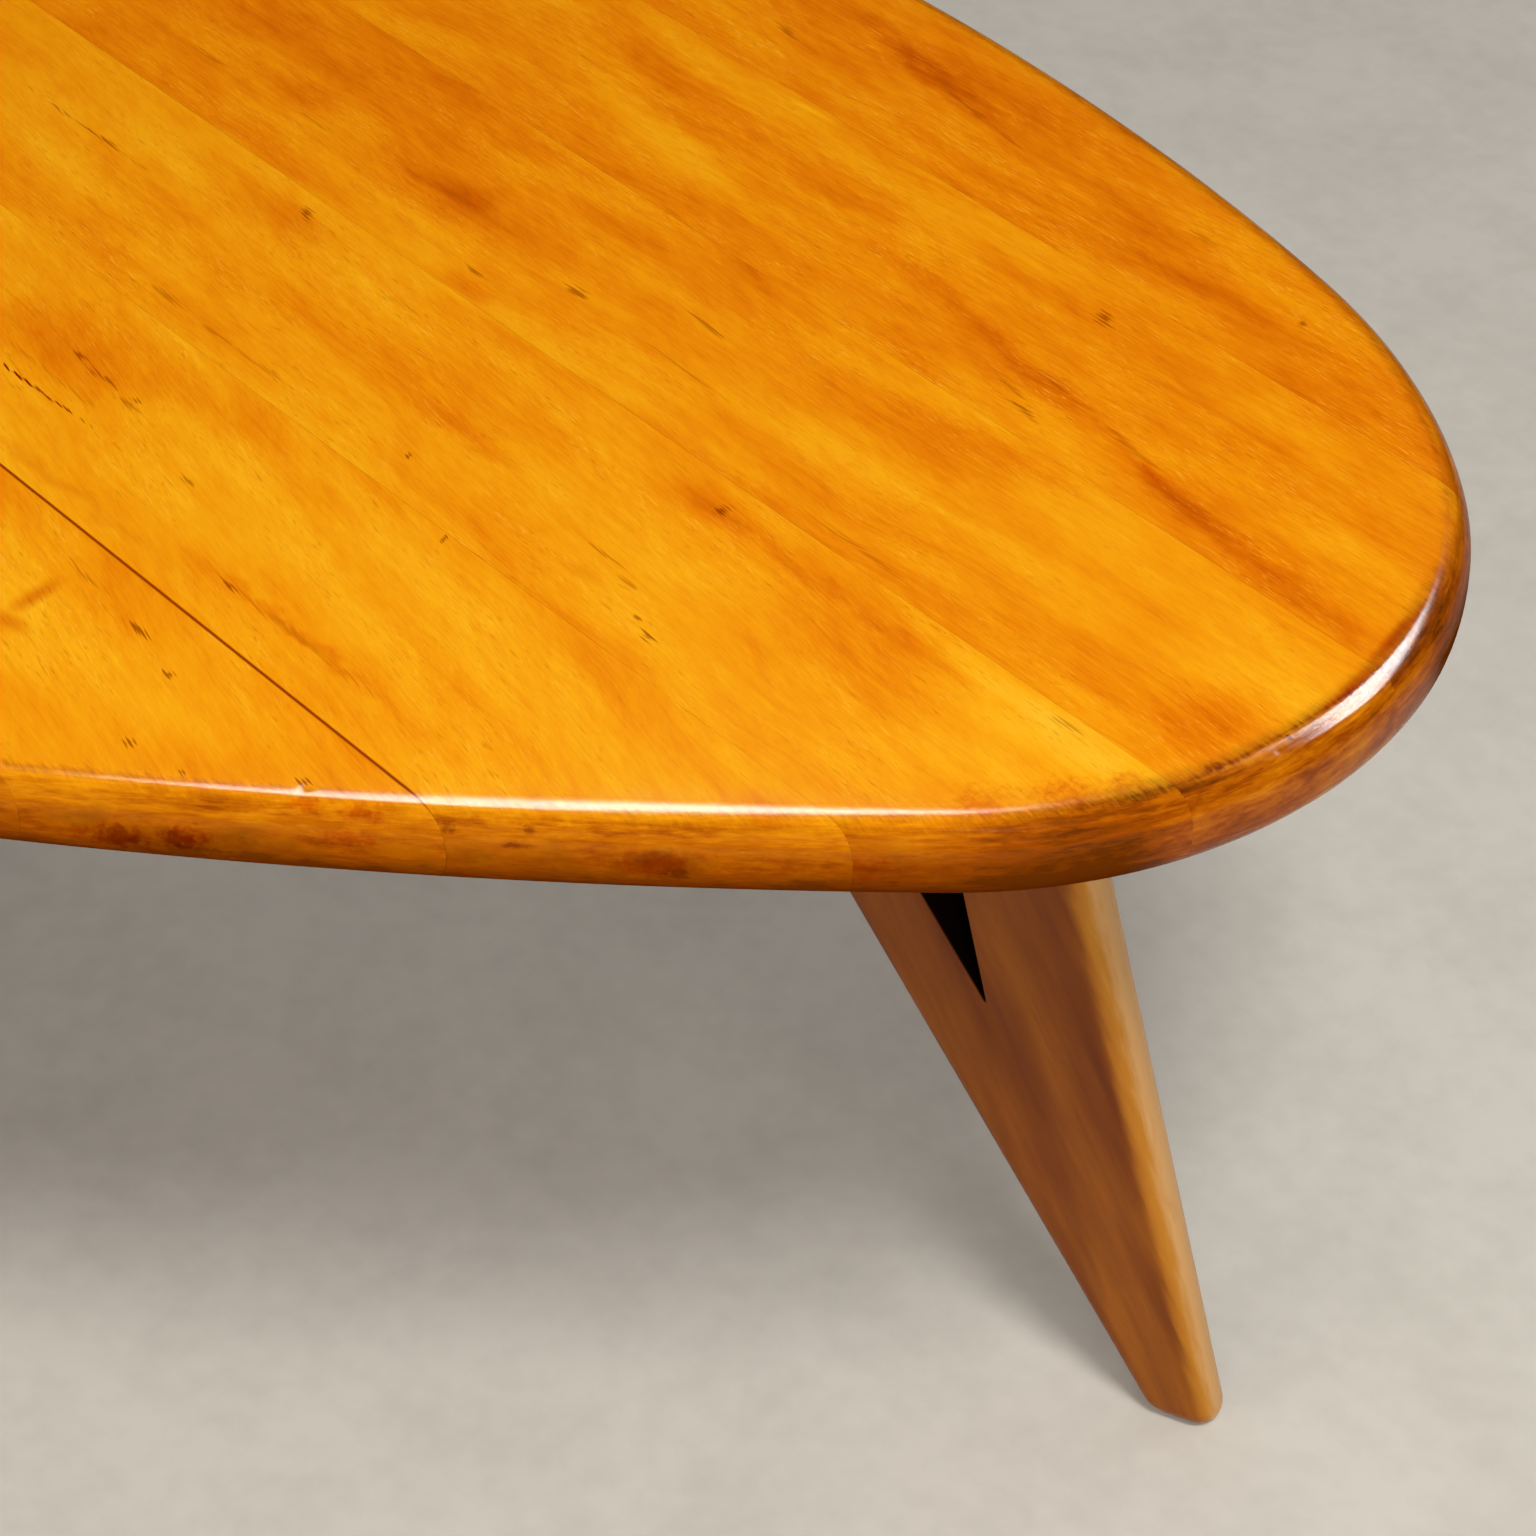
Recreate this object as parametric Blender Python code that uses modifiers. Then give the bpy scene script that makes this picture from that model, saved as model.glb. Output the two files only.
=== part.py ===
"""Three-legged coffee table: a rounded triangular top of seven glued boards on three forked legs.

Metres, +Z up. The origin is on the floor under the middle of the top's bounding box, +X runs along the
boards and the top's long side, and the corner between the two slanted sides points to -Y.
"""

import math

import bmesh
import bpy
from mathutils import Matrix, Vector
from mathutils.geometry import intersect_sphere_sphere_2d

# Overall sizes
TABLE_HEIGHT = 0.430
TOP_LENGTH = 1.000
TOP_THICKNESS = 0.032
BOARD_WIDTH = 0.096
BOARD_COUNT = 7
TOP_DEPTH = BOARD_WIDTH * BOARD_COUNT
UNDERSIDE_HEIGHT = TABLE_HEIGHT - TOP_THICKNESS

# Fits: a closed glue line, the one seam that has opened, and the slack of a pin in its hole
GLUE_GAP = 0.0003
OPEN_SEAM_GAP = 0.0008
OPEN_SEAM = 5
PIN_CLEARANCE = 0.0003
CUT_OVERRUN = 0.010

# The outline runs clockwise from the middle of the long back side; turns are in degrees
BACK_BOW_RADIUS = 1.130
BACK_BOW_TURN = 12.5
SHOULDER_RADIUS = 0.300
SHOULDER_TURN = 25.0
NOSE_RADIUS = 0.192
SIDE_BOW_RADIUS = 2.100
FRONT_RADIUS = 0.315
QUARTER_TURN = 90.0
HALF_TURN = 180.0
OUTLINE_TOLERANCE = 0.00022

# The rounded rim
RIM_ROUND = 0.0137
RIM_STEPS = 4

# A leg in its own plane: distances run outwards along the floor from the middle of its foot
FOOT_INSET = 0.065
FOOT_LENGTH = 0.028
FOOT_ROUND = 0.006
FOOT_STEPS = 3
LEG_THICKNESS_AT_FOOT = 0.022
LEG_THICKNESS_AT_HEAD = 0.036
HEAD_SETBACK = 0.098
HEAD_LENGTH = 0.168
OUTER_BLADE_WIDTH = 0.050
INNER_BLADE_WIDTH = 0.040
FORK_HEIGHT = 0.202
FORK_SHARE = 0.58
OUTER_ROUND_SHARE = 0.95
INNER_ROUND_SHARE = 0.50
BLADE_ROUND_STEPS = 4
CORNER_LEG_TURN = 22.8

# Wooden pins
SEAM_DOWEL_DIAMETER = 0.010
SEAM_DOWEL_LENGTH = 0.050
SEAM_DOWEL_SHARES = (-0.6, 0.08, 0.6)
HEAD_DOWEL_DIAMETER = 0.008
HEAD_DOWEL_IN_TOP = 0.020
HEAD_DOWEL_IN_BLADE = 0.018
HEAD_DOWEL_SPACING = 0.014
SCARF_PIN_DIAMETER = 0.008
SCARF_PIN_LENGTH = 0.036
SCARF_PIN_HEIGHT_SHARES = (0.42, 0.74)
DOWEL_SIDES = 10

WELD_DISTANCE = 0.00001
FLAT_ANGLE = math.radians(0.4)
SHARP_ANGLE = math.radians(35.0)

# Finishes: a linear colour and a roughness
TOP_FINISH = ((0.72, 0.30, 0.02), 0.18)
LEG_FINISH = ((0.36, 0.14, 0.045), 0.30)
PIN_FINISH = ((0.62, 0.46, 0.27), 0.70)


def clear_scene():
    """Remove whatever the open file holds."""
    for obj in list(bpy.data.objects):
        bpy.data.objects.remove(obj, do_unlink=True)
    for collection in list(bpy.data.collections):
        bpy.data.collections.remove(collection)


def new_collection(name, parent):
    """Add a collection under another one."""
    collection = bpy.data.collections.new(name)
    parent.children.link(collection)
    return collection


def add_object(name, mesh, collection):
    """Put a mesh in a collection as an object of its own."""
    obj = bpy.data.objects.new(name, mesh)
    collection.objects.link(obj)
    return obj


def set_material(obj, finish):
    """Give an object a material of its own."""
    colour, roughness = finish
    material = bpy.data.materials.new(obj.name + "_finish")
    material.use_nodes = True
    shader = material.node_tree.nodes["Principled BSDF"]
    shader.inputs["Base Color"].default_value = (*colour, 1.0)
    shader.inputs["Roughness"].default_value = roughness
    shader.inputs["Metallic"].default_value = 0.0
    obj.data.materials.clear()
    obj.data.materials.append(material)


def mark_cutter(obj):
    """Keep a cutter out of the model."""
    obj.hide_render = True
    obj.display_type = "WIRE"


def shade(mesh):
    """Shade round surfaces smooth and keep real edges sharp."""
    mesh.shade_smooth()
    mesh.set_sharp_from_angle(angle=SHARP_ANGLE)


def evaluated_mesh(obj):
    """Return a copy of an object's mesh with its modifiers applied."""
    depsgraph = bpy.context.evaluated_depsgraph_get()
    return bpy.data.meshes.new_from_object(obj.evaluated_get(depsgraph))


def box_object(name, low, high, collection):
    """Add a box between two corners."""
    size = Vector(high) - Vector(low)
    bm = bmesh.new()
    bmesh.ops.create_cube(bm, size=1.0, matrix=Matrix.Diagonal((*size, 1.0)))
    mesh = bpy.data.meshes.new(name)
    bm.to_mesh(mesh)
    bm.free()
    obj = add_object(name, mesh, collection)
    obj.location = (Vector(high) + Vector(low)) / 2
    return obj


def cylinder_object(name, place, diameter, length, collection):
    """Add a cylinder, centred on and turned by its place."""
    bm = bmesh.new()
    bmesh.ops.create_cone(
        bm, cap_ends=True, segments=DOWEL_SIDES, radius1=diameter / 2,
        radius2=diameter / 2, depth=length,
    )
    mesh = bpy.data.meshes.new(name)
    bm.to_mesh(mesh)
    bm.free()
    shade(mesh)
    obj = add_object(name, mesh, collection)
    obj.matrix_world = place
    return obj


def pin_in_hole(name, place, diameter, length, parts, holes):
    """Add a wooden pin and the cutter for its hole, which has a little slack all round."""
    pin = cylinder_object(name, place, diameter, length, parts)
    set_material(pin, PIN_FINISH)
    slack = 2 * PIN_CLEARANCE
    hole = cylinder_object(f"{name}_hole", place, diameter + slack, length + slack, holes)
    mark_cutter(hole)
    return hole


def add_boolean(obj, operation, cutter):
    """Cut an object with one cutter, or with every cutter of a collection."""
    modifier = obj.modifiers.new(operation.lower(), "BOOLEAN")
    modifier.operation = operation
    modifier.solver = "EXACT"
    if isinstance(cutter, bpy.types.Collection):
        modifier.operand_type = "COLLECTION"
        modifier.collection = cutter
    else:
        modifier.object = cutter


# Outline of the top

def right_of(heading):
    """Return the direction to the right of a heading."""
    return Vector((math.sin(heading), -math.cos(heading)))


def arc_points(start, heading, radius, turn):
    """Walk a clockwise arc from a start point and return the points after it."""
    step_limit = 2 * math.acos(1 - OUTLINE_TOLERANCE / radius)
    count = max(1, math.ceil(turn / step_limit))
    centre = start + right_of(heading) * radius
    points = []
    for index in range(1, count + 1):
        points.append(centre + Matrix.Rotation(-turn * index / count, 2) @ (start - centre))
    return points


def walk(points, heading, arcs):
    """Add a chain of clockwise arcs to an outline and return the heading at its end."""
    for radius, turn in arcs:
        points.extend(arc_points(points[-1], heading, radius, turn))
        heading -= turn
    return heading


def heading_at(centre, point):
    """Return the heading of a clockwise arc about a centre where it passes a point."""
    outwards = point - centre
    return math.atan2(outwards.y, outwards.x) - math.radians(QUARTER_TURN)


def right_half_outline():
    """Return the right half of the outline from back middle to front corner, and its corners.

    The straight stretch of the back fills out the length. The side is one long bow, which runs
    smoothly into the nose's circle and the front corner's.
    """
    back_turn = math.radians(BACK_BOW_TURN)
    shoulder_turn = math.radians(SHOULDER_TURN)
    turn_to_tip = math.radians(QUARTER_TURN) - back_turn - shoulder_turn

    points = [Vector((0.0, TOP_DEPTH / 2))]
    heading = walk(points, 0.0, [(BACK_BOW_RADIUS, back_turn), (SHOULDER_RADIUS, shoulder_turn)])
    nose_centre = points[-1] + right_of(heading) * NOSE_RADIUS
    tip_heading = walk(points, heading, [(NOSE_RADIUS, turn_to_tip)])
    back_straight = Vector((TOP_LENGTH / 2 - points[-1].x, 0.0))
    points = [points[0]] + [point + back_straight for point in points]
    nose_centre = nose_centre + back_straight

    front_centre = Vector((0.0, FRONT_RADIUS - TOP_DEPTH / 2))
    bow_centre = max(
        intersect_sphere_sphere_2d(
            nose_centre, SIDE_BOW_RADIUS - NOSE_RADIUS, front_centre, SIDE_BOW_RADIUS - FRONT_RADIUS),
        key=lambda point: point.y,
    )
    side_heading = heading_at(bow_centre, nose_centre)
    front_heading = heading_at(bow_centre, front_centre)
    walk(points, tip_heading, [
        (NOSE_RADIUS, tip_heading - side_heading),
        (SIDE_BOW_RADIUS, side_heading - front_heading),
        (FRONT_RADIUS, front_heading + math.radians(HALF_TURN)),
    ])
    points[-1].x = 0.0
    corners = {"side": (nose_centre, NOSE_RADIUS), "front": (front_centre, FRONT_RADIUS)}
    return points, corners


def full_outline(half):
    """Mirror the right half into the closed outline."""
    left = [Vector((-point.x, point.y)) for point in reversed(half[1:-1])]
    return half + left


def outline_half_width(half, y):
    """Return how far the outline reaches from the middle at a depth."""
    reach = 0.0
    for first, second in zip(half, half[1:]):
        if min(first.y, second.y) <= y <= max(first.y, second.y) and first.y != second.y:
            share = (y - first.y) / (second.y - first.y)
            reach = max(reach, first.x + (second.x - first.x) * share)
    return reach


# The top and its boards

def top_slab(outline, cutters):
    """Make the whole top as one rounded slab, the blank that the boards are cut from."""
    curve = bpy.data.curves.new("top_outline", "CURVE")
    curve.dimensions = "2D"
    curve.fill_mode = "BOTH"
    curve.extrude = TOP_THICKNESS / 2
    spline = curve.splines.new("POLY")
    spline.points.add(len(outline) - 1)
    for spline_point, point in zip(spline.points, outline):
        spline_point.co = (point.x, point.y, 0.0, 1.0)
    spline.use_cyclic_u = True
    outline_object = add_object("top_outline", curve, cutters)
    mesh = evaluated_mesh(outline_object)
    bpy.data.objects.remove(outline_object)

    bm = bmesh.new()
    bm.from_mesh(mesh)
    bmesh.ops.remove_doubles(bm, verts=bm.verts, dist=WELD_DISTANCE)
    bmesh.ops.dissolve_limit(bm, angle_limit=FLAT_ANGLE, verts=bm.verts, edges=bm.edges)
    bmesh.ops.recalc_face_normals(bm, faces=bm.faces)
    bm.to_mesh(mesh)
    bm.free()

    slab = add_object("top_slab", mesh, cutters)
    slab.location.z = TABLE_HEIGHT - TOP_THICKNESS / 2
    mark_cutter(slab)
    bevel = slab.modifiers.new("rim", "BEVEL")
    bevel.width = RIM_ROUND
    bevel.segments = RIM_STEPS
    bevel.limit_method = "ANGLE"
    bevel.angle_limit = SHARP_ANGLE
    return slab


def seam_depth(seam):
    """Return a seam's place in Y, seam 1 being the one nearest the back."""
    return TOP_DEPTH / 2 - BOARD_WIDTH * seam


def seam_gap(seam):
    """Return the gap at a seam: a glue line, or the one that has opened."""
    return OPEN_SEAM_GAP if seam == OPEN_SEAM else GLUE_GAP


def plank_object(number, slab_mesh, parts, cutters, joinery):
    """Cut one board of the top from the slab and drill it for its dowels."""
    back = TOP_DEPTH / 2 + CUT_OVERRUN
    front = -back
    if number > 1:
        back = seam_depth(number - 1) - seam_gap(number - 1) / 2
    if number < BOARD_COUNT:
        front = seam_depth(number) + seam_gap(number) / 2
    reach = TOP_LENGTH / 2 + CUT_OVERRUN
    strip = box_object(
        f"plank_{number}_strip",
        (-reach, front, UNDERSIDE_HEIGHT - CUT_OVERRUN),
        (reach, back, TABLE_HEIGHT + CUT_OVERRUN),
        cutters,
    )
    mark_cutter(strip)
    plank = add_object(f"plank_{number}", slab_mesh.copy(), parts)
    plank.location.z = TABLE_HEIGHT - TOP_THICKNESS / 2
    add_boolean(plank, "INTERSECT", strip)
    add_boolean(plank, "DIFFERENCE", joinery)
    set_material(plank, TOP_FINISH)


def seam_dowels(seam, half, parts, joinery):
    """Add the dowels across one seam and the cutters for their holes."""
    depth = seam_depth(seam)
    half_width = outline_half_width(half, depth)
    along_y = Matrix.Rotation(math.radians(QUARTER_TURN), 4, "X")
    height = UNDERSIDE_HEIGHT + TOP_THICKNESS / 2
    for number, share in enumerate(SEAM_DOWEL_SHARES, start=1):
        place = Matrix.Translation((half_width * share, depth, height)) @ along_y
        name = f"seam_{seam}_dowel_{number}"
        pin_in_hole(name, place, SEAM_DOWEL_DIAMETER, SEAM_DOWEL_LENGTH, parts, joinery)


# Legs

def leg_height():
    """Return the height of a leg's head, just under the top."""
    return UNDERSIDE_HEIGHT - GLUE_GAP


def along_edge(foot, head, z):
    """Return the place of a straight leaning edge at a height."""
    return foot + (head - foot) * z / leg_height()


def outer_edge(z):
    """Return the place of the leg's outer edge at a height."""
    return along_edge(FOOT_LENGTH / 2, FOOT_LENGTH / 2 - HEAD_SETBACK, z)


def inner_edge(z):
    """Return the place of the leg's inner edge at a height."""
    return along_edge(-FOOT_LENGTH / 2, FOOT_LENGTH / 2 - HEAD_SETBACK - HEAD_LENGTH, z)


def fork_tip():
    """Return the place where the two blades part."""
    outer = outer_edge(FORK_HEIGHT)
    inner = inner_edge(FORK_HEIGHT)
    return outer + (inner - outer) * FORK_SHARE


def fork_side(z, head):
    """Return the place of a blade's fork side: the glue line below the fork, the open side above."""
    if z <= FORK_HEIGHT:
        return fork_tip() * z / FORK_HEIGHT
    share = (z - FORK_HEIGHT) / (leg_height() - FORK_HEIGHT)
    return fork_tip() + (head - fork_tip()) * share


def leg_half_thickness(z):
    """Return half the leg's thickness at a height."""
    return along_edge(LEG_THICKNESS_AT_FOOT, LEG_THICKNESS_AT_HEAD, z) / 2


def blade_section(fork_place, edge_place, half_thickness, round_radius, inset):
    """Return one level outline of a blade: square at the fork side, rounded at its outside edge."""
    way = 1.0 if edge_place > fork_place else -1.0
    half = half_thickness - inset
    edge = edge_place - way * inset
    radius = min(round_radius, half, abs(edge - fork_place))
    section = [Vector((fork_place, -half)), Vector((fork_place, half))]
    for side in (1.0, -1.0):
        for step in range(BLADE_ROUND_STEPS + 1):
            angle = math.radians(QUARTER_TURN) * step / BLADE_ROUND_STEPS
            if side < 0:
                angle = math.radians(QUARTER_TURN) - angle
            section.append(Vector((
                edge - way * radius * (1 - math.sin(angle)),
                side * (half - radius * (1 - math.cos(angle))),
            )))
    return section


def blade_levels():
    """Return each level's height and inset: the rounded foot, the fork and the head."""
    levels = []
    for step in range(FOOT_STEPS + 1):
        angle = math.radians(QUARTER_TURN) * step / FOOT_STEPS
        levels.append((FOOT_ROUND * (1 - math.cos(angle)), FOOT_ROUND * (1 - math.sin(angle))))
    levels.append((FORK_HEIGHT, 0.0))
    levels.append((leg_height(), 0.0))
    return levels


def blade_mesh(name, outside_edge, fork_head, round_share):
    """Loft a blade through its level sections."""
    bm = bmesh.new()
    rings = []
    way = 1.0 if outside_edge(0.0) > 0 else -1.0
    for z, inset in blade_levels():
        half = leg_half_thickness(z)
        fork_place = fork_side(z, fork_head) + way * GLUE_GAP / 2
        section = blade_section(fork_place, outside_edge(z), half, half * round_share, inset)
        rings.append([bm.verts.new((point.x, point.y, z)) for point in section])
    for lower, upper in zip(rings, rings[1:]):
        for index in range(len(lower)):
            after = (index + 1) % len(lower)
            bm.faces.new((lower[index], lower[after], upper[after], upper[index]))
    bm.faces.new(rings[0])
    bm.faces.new(rings[-1])
    bmesh.ops.remove_doubles(bm, verts=bm.verts, dist=WELD_DISTANCE)
    bmesh.ops.recalc_face_normals(bm, faces=bm.faces)
    mesh = bpy.data.meshes.new(name)
    bm.to_mesh(mesh)
    bm.free()
    shade(mesh)
    return mesh


def head_dowel_places():
    """Return each blade's head dowel places, in the leg's plane."""
    low = leg_height() - HEAD_DOWEL_IN_BLADE
    outer_head = outer_edge(leg_height())
    inner_head = inner_edge(leg_height())
    middles = {
        "outer": (outer_head + fork_side(low, outer_head - OUTER_BLADE_WIDTH)) / 2,
        "inner": (inner_head + INNER_BLADE_WIDTH + inner_edge(low)) / 2,
    }
    middle_height = (low + UNDERSIDE_HEIGHT + HEAD_DOWEL_IN_TOP) / 2
    places = {}
    for blade_name, middle in middles.items():
        places[blade_name] = [
            Matrix.Translation((middle + side * HEAD_DOWEL_SPACING / 2, 0.0, middle_height))
            for side in (1, -1)
        ]
    return places


def scarf_pin_places():
    """Return the scarf pins' places: square to the glue line below the fork, in the leg's plane."""
    glue_lean = math.atan2(-fork_tip(), FORK_HEIGHT)
    places = []
    for share in SCARF_PIN_HEIGHT_SHARES:
        height = FORK_HEIGHT * share
        turn = Matrix.Rotation(math.radians(QUARTER_TURN) - glue_lean, 4, "Y")
        places.append(Matrix.Translation((fork_tip() * share, 0.0, height)) @ turn)
    return places


def leg(side, place, blades, parts, cutters, joinery):
    """Build one leg: its two blades, the pins through their scarf and the dowels into the top."""
    leg_holes = new_collection(f"leg_{side}_holes", cutters)
    head_length = HEAD_DOWEL_IN_TOP + HEAD_DOWEL_IN_BLADE
    for blade_name, local_places in head_dowel_places().items():
        for number, local in enumerate(local_places, start=1):
            name = f"leg_{side}_{blade_name}_dowel_{number}"
            hole = pin_in_hole(
                name, place @ local, HEAD_DOWEL_DIAMETER, head_length, parts, joinery)
            leg_holes.objects.link(hole)
    for number, local in enumerate(scarf_pin_places(), start=1):
        name = f"leg_{side}_scarf_pin_{number}"
        pin_in_hole(name, place @ local, SCARF_PIN_DIAMETER, SCARF_PIN_LENGTH, parts, leg_holes)
    for blade_name, mesh in blades.items():
        blade = add_object(f"leg_{side}_{blade_name}_blade", mesh.copy(), parts)
        blade.matrix_world = place
        add_boolean(blade, "DIFFERENCE", leg_holes)
        set_material(blade, LEG_FINISH)


def leg_places(corners):
    """Return each leg's place: its foot stands inside its corner, on the corner's own axis."""
    places = {}
    for side, corner, way, turn in (
        ("right", "side", 1, CORNER_LEG_TURN),
        ("left", "side", -1, HALF_TURN - CORNER_LEG_TURN),
        ("front", "front", 1, -QUARTER_TURN),
    ):
        centre, radius = corners[corner]
        angle = math.radians(turn)
        outwards = Vector((math.cos(angle), math.sin(angle), 0.0))
        foot = Vector((way * centre.x, centre.y, 0.0)) + outwards * (radius - FOOT_INSET)
        places[side] = Matrix.Translation(foot) @ Matrix.Rotation(angle, 4, "Z")
    return places


def build():
    """Build the whole table."""
    clear_scene()
    root = bpy.context.scene.collection
    parts = new_collection("coffee_table", root)
    cutters = new_collection("cutters", root)
    joinery = new_collection("top_joinery", cutters)

    half, corners = right_half_outline()
    for seam in range(1, BOARD_COUNT):
        seam_dowels(seam, half, parts, joinery)

    outer_fork_head = outer_edge(leg_height()) - OUTER_BLADE_WIDTH
    inner_fork_head = inner_edge(leg_height()) + INNER_BLADE_WIDTH
    blades = {
        "outer": blade_mesh("outer_blade", outer_edge, outer_fork_head, OUTER_ROUND_SHARE),
        "inner": blade_mesh("inner_blade", inner_edge, inner_fork_head, INNER_ROUND_SHARE),
    }
    for side, place in leg_places(corners).items():
        leg(side, place, blades, parts, cutters, joinery)

    slab = top_slab(full_outline(half), cutters)
    slab_mesh = evaluated_mesh(slab)
    shade(slab_mesh)
    for number in range(1, BOARD_COUNT + 1):
        plank_object(number, slab_mesh, parts, cutters, joinery)


build()
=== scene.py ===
"""Looks of the three-legged coffee table: lacquered pine top, forked beech legs, studio floor and light."""

from __future__ import annotations

import logging
import math
from dataclasses import dataclass, field
from enum import Enum
from typing import Any

import bmesh
import bpy
import numpy as np
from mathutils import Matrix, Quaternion, Vector


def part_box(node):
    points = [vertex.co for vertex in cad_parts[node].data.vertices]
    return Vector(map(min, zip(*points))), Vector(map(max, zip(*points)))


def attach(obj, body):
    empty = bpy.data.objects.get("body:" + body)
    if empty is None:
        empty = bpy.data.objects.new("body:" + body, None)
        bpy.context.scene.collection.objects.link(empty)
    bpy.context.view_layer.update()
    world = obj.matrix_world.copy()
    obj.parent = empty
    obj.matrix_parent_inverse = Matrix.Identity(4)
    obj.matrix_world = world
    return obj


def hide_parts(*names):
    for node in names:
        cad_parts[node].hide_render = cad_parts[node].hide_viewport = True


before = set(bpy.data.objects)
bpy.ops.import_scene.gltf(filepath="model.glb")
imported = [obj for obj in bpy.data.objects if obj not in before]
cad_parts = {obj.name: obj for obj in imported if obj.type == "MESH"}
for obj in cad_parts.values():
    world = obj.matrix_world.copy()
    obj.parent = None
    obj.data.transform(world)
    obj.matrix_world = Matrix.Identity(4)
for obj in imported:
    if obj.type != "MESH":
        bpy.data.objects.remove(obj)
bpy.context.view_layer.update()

log = logging.getLogger("coffee_table")

MM = 0.001
BODY = "root"


class Slot(Enum):
    """The record's material slots."""

    TOP = "top_wood"
    LEG = "leg_wood"
    DOWEL = "dowel_wood"


class Side(Enum):
    """The three legs, named for the corner of the top that each stands under."""

    RIGHT = "right"
    LEFT = "left"
    FRONT = "front"


def hex_colour(code: str) -> tuple[float, float, float, float]:
    """Turn an sRGB hex colour into linear values.

    Args:
        code: Six hex digits, such as "E08A10".

    Returns:
        The linear colour with alpha 1.
    """
    srgb = [int(code[i:i + 2], 16) / 255 for i in (0, 2, 4)]
    linear = [c / 12.92 if c <= 0.04045 else ((c + 0.055) / 1.055) ** 2.4 for c in srgb]
    return (*linear, 1.0)


def metres(*sizes: float) -> tuple[float, ...]:
    """Turn sizes in millimetres into metres."""
    return tuple(size * MM for size in sizes)


def add_node(
    tree: bpy.types.NodeTree,
    kind: str,
    inputs: dict[int | str, Any] | None = None,
    out: int | str = 0,
    stops: list[tuple[float, str]] | None = None,
    **settings: Any,
) -> bpy.types.NodeSocket:
    """Add one shader node, apply its settings and feed its inputs.

    Args:
        tree: The material's node tree.
        kind: The node's type without its ShaderNode prefix.
        inputs: Input index or name to a value, or to the socket that feeds it.
        out: Which output to return.
        stops: For a colour ramp, its places and hex colours.
        settings: Attributes of the node.

    Returns:
        The chosen output socket.
    """
    node = tree.nodes.new("ShaderNode" + kind)
    for name, value in settings.items():
        setattr(node, name, value)
    if stops:
        ramp = node.color_ramp
        while len(ramp.elements) < len(stops):
            ramp.elements.new(0.5)
        for element, (place, code) in zip(ramp.elements, stops):
            element.position = place
            element.color = hex_colour(code)
    for key, value in (inputs or {}).items():
        if isinstance(value, bpy.types.NodeSocket):
            tree.links.new(value, node.inputs[key])
        else:
            node.inputs[key].default_value = value
    return node.outputs[out]


def new_material(name: str) -> tuple[bpy.types.Material, bpy.types.NodeTree, bpy.types.Node]:
    """Make an empty material.

    Args:
        name: The material's name.

    Returns:
        The material, its node tree and its Principled shader.
    """
    material = bpy.data.materials.new(name)
    material.use_nodes = True
    tree = material.node_tree
    return material, tree, tree.nodes["Principled BSDF"]


def mesh_object(
    name: str,
    points: np.ndarray,
    faces: list[list[int]],
    attributes: dict[str, np.ndarray] | None = None,
) -> bpy.types.Object:
    """Make a smooth mesh object at the origin from arrays.

    Args:
        name: The object's name.
        points: Vertex places, one row each.
        faces: Vertex indices of each face.
        attributes: Values kept on the vertices, by name.

    Returns:
        The new object.
    """
    mesh = bpy.data.meshes.new(name)
    mesh.from_pydata(points.tolist(), [], faces)
    for key, values in (attributes or {}).items():
        values = np.asarray(values, dtype=np.float32)
        if values.ndim == 1:
            mesh.attributes.new(key, "FLOAT", "POINT").data.foreach_set("value", values)
        else:
            mesh.attributes.new(key, "FLOAT_VECTOR", "POINT").data.foreach_set("vector", values.ravel())
    mesh.shade_smooth()
    obj = bpy.data.objects.new(name, mesh)
    bpy.context.scene.collection.objects.link(obj)
    return obj


def grid_faces(rows: int, columns: int) -> np.ndarray:
    """Join a grid of points that closes on itself along its columns.

    Each quad joins a point, the next in its row, and the same two of the row after.

    Args:
        rows: How many rows of points.
        columns: How many points in a row.

    Returns:
        The quads' vertex indices, one quad a row.
    """
    row, column = np.meshgrid(np.arange(rows - 1), np.arange(columns), indexing="ij")
    after = (column + 1) % columns
    quads = np.stack(
        [row * columns + column, row * columns + after,
         (row + 1) * columns + after, (row + 1) * columns + column], axis=-1)
    return quads.reshape(-1, 4)


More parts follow.
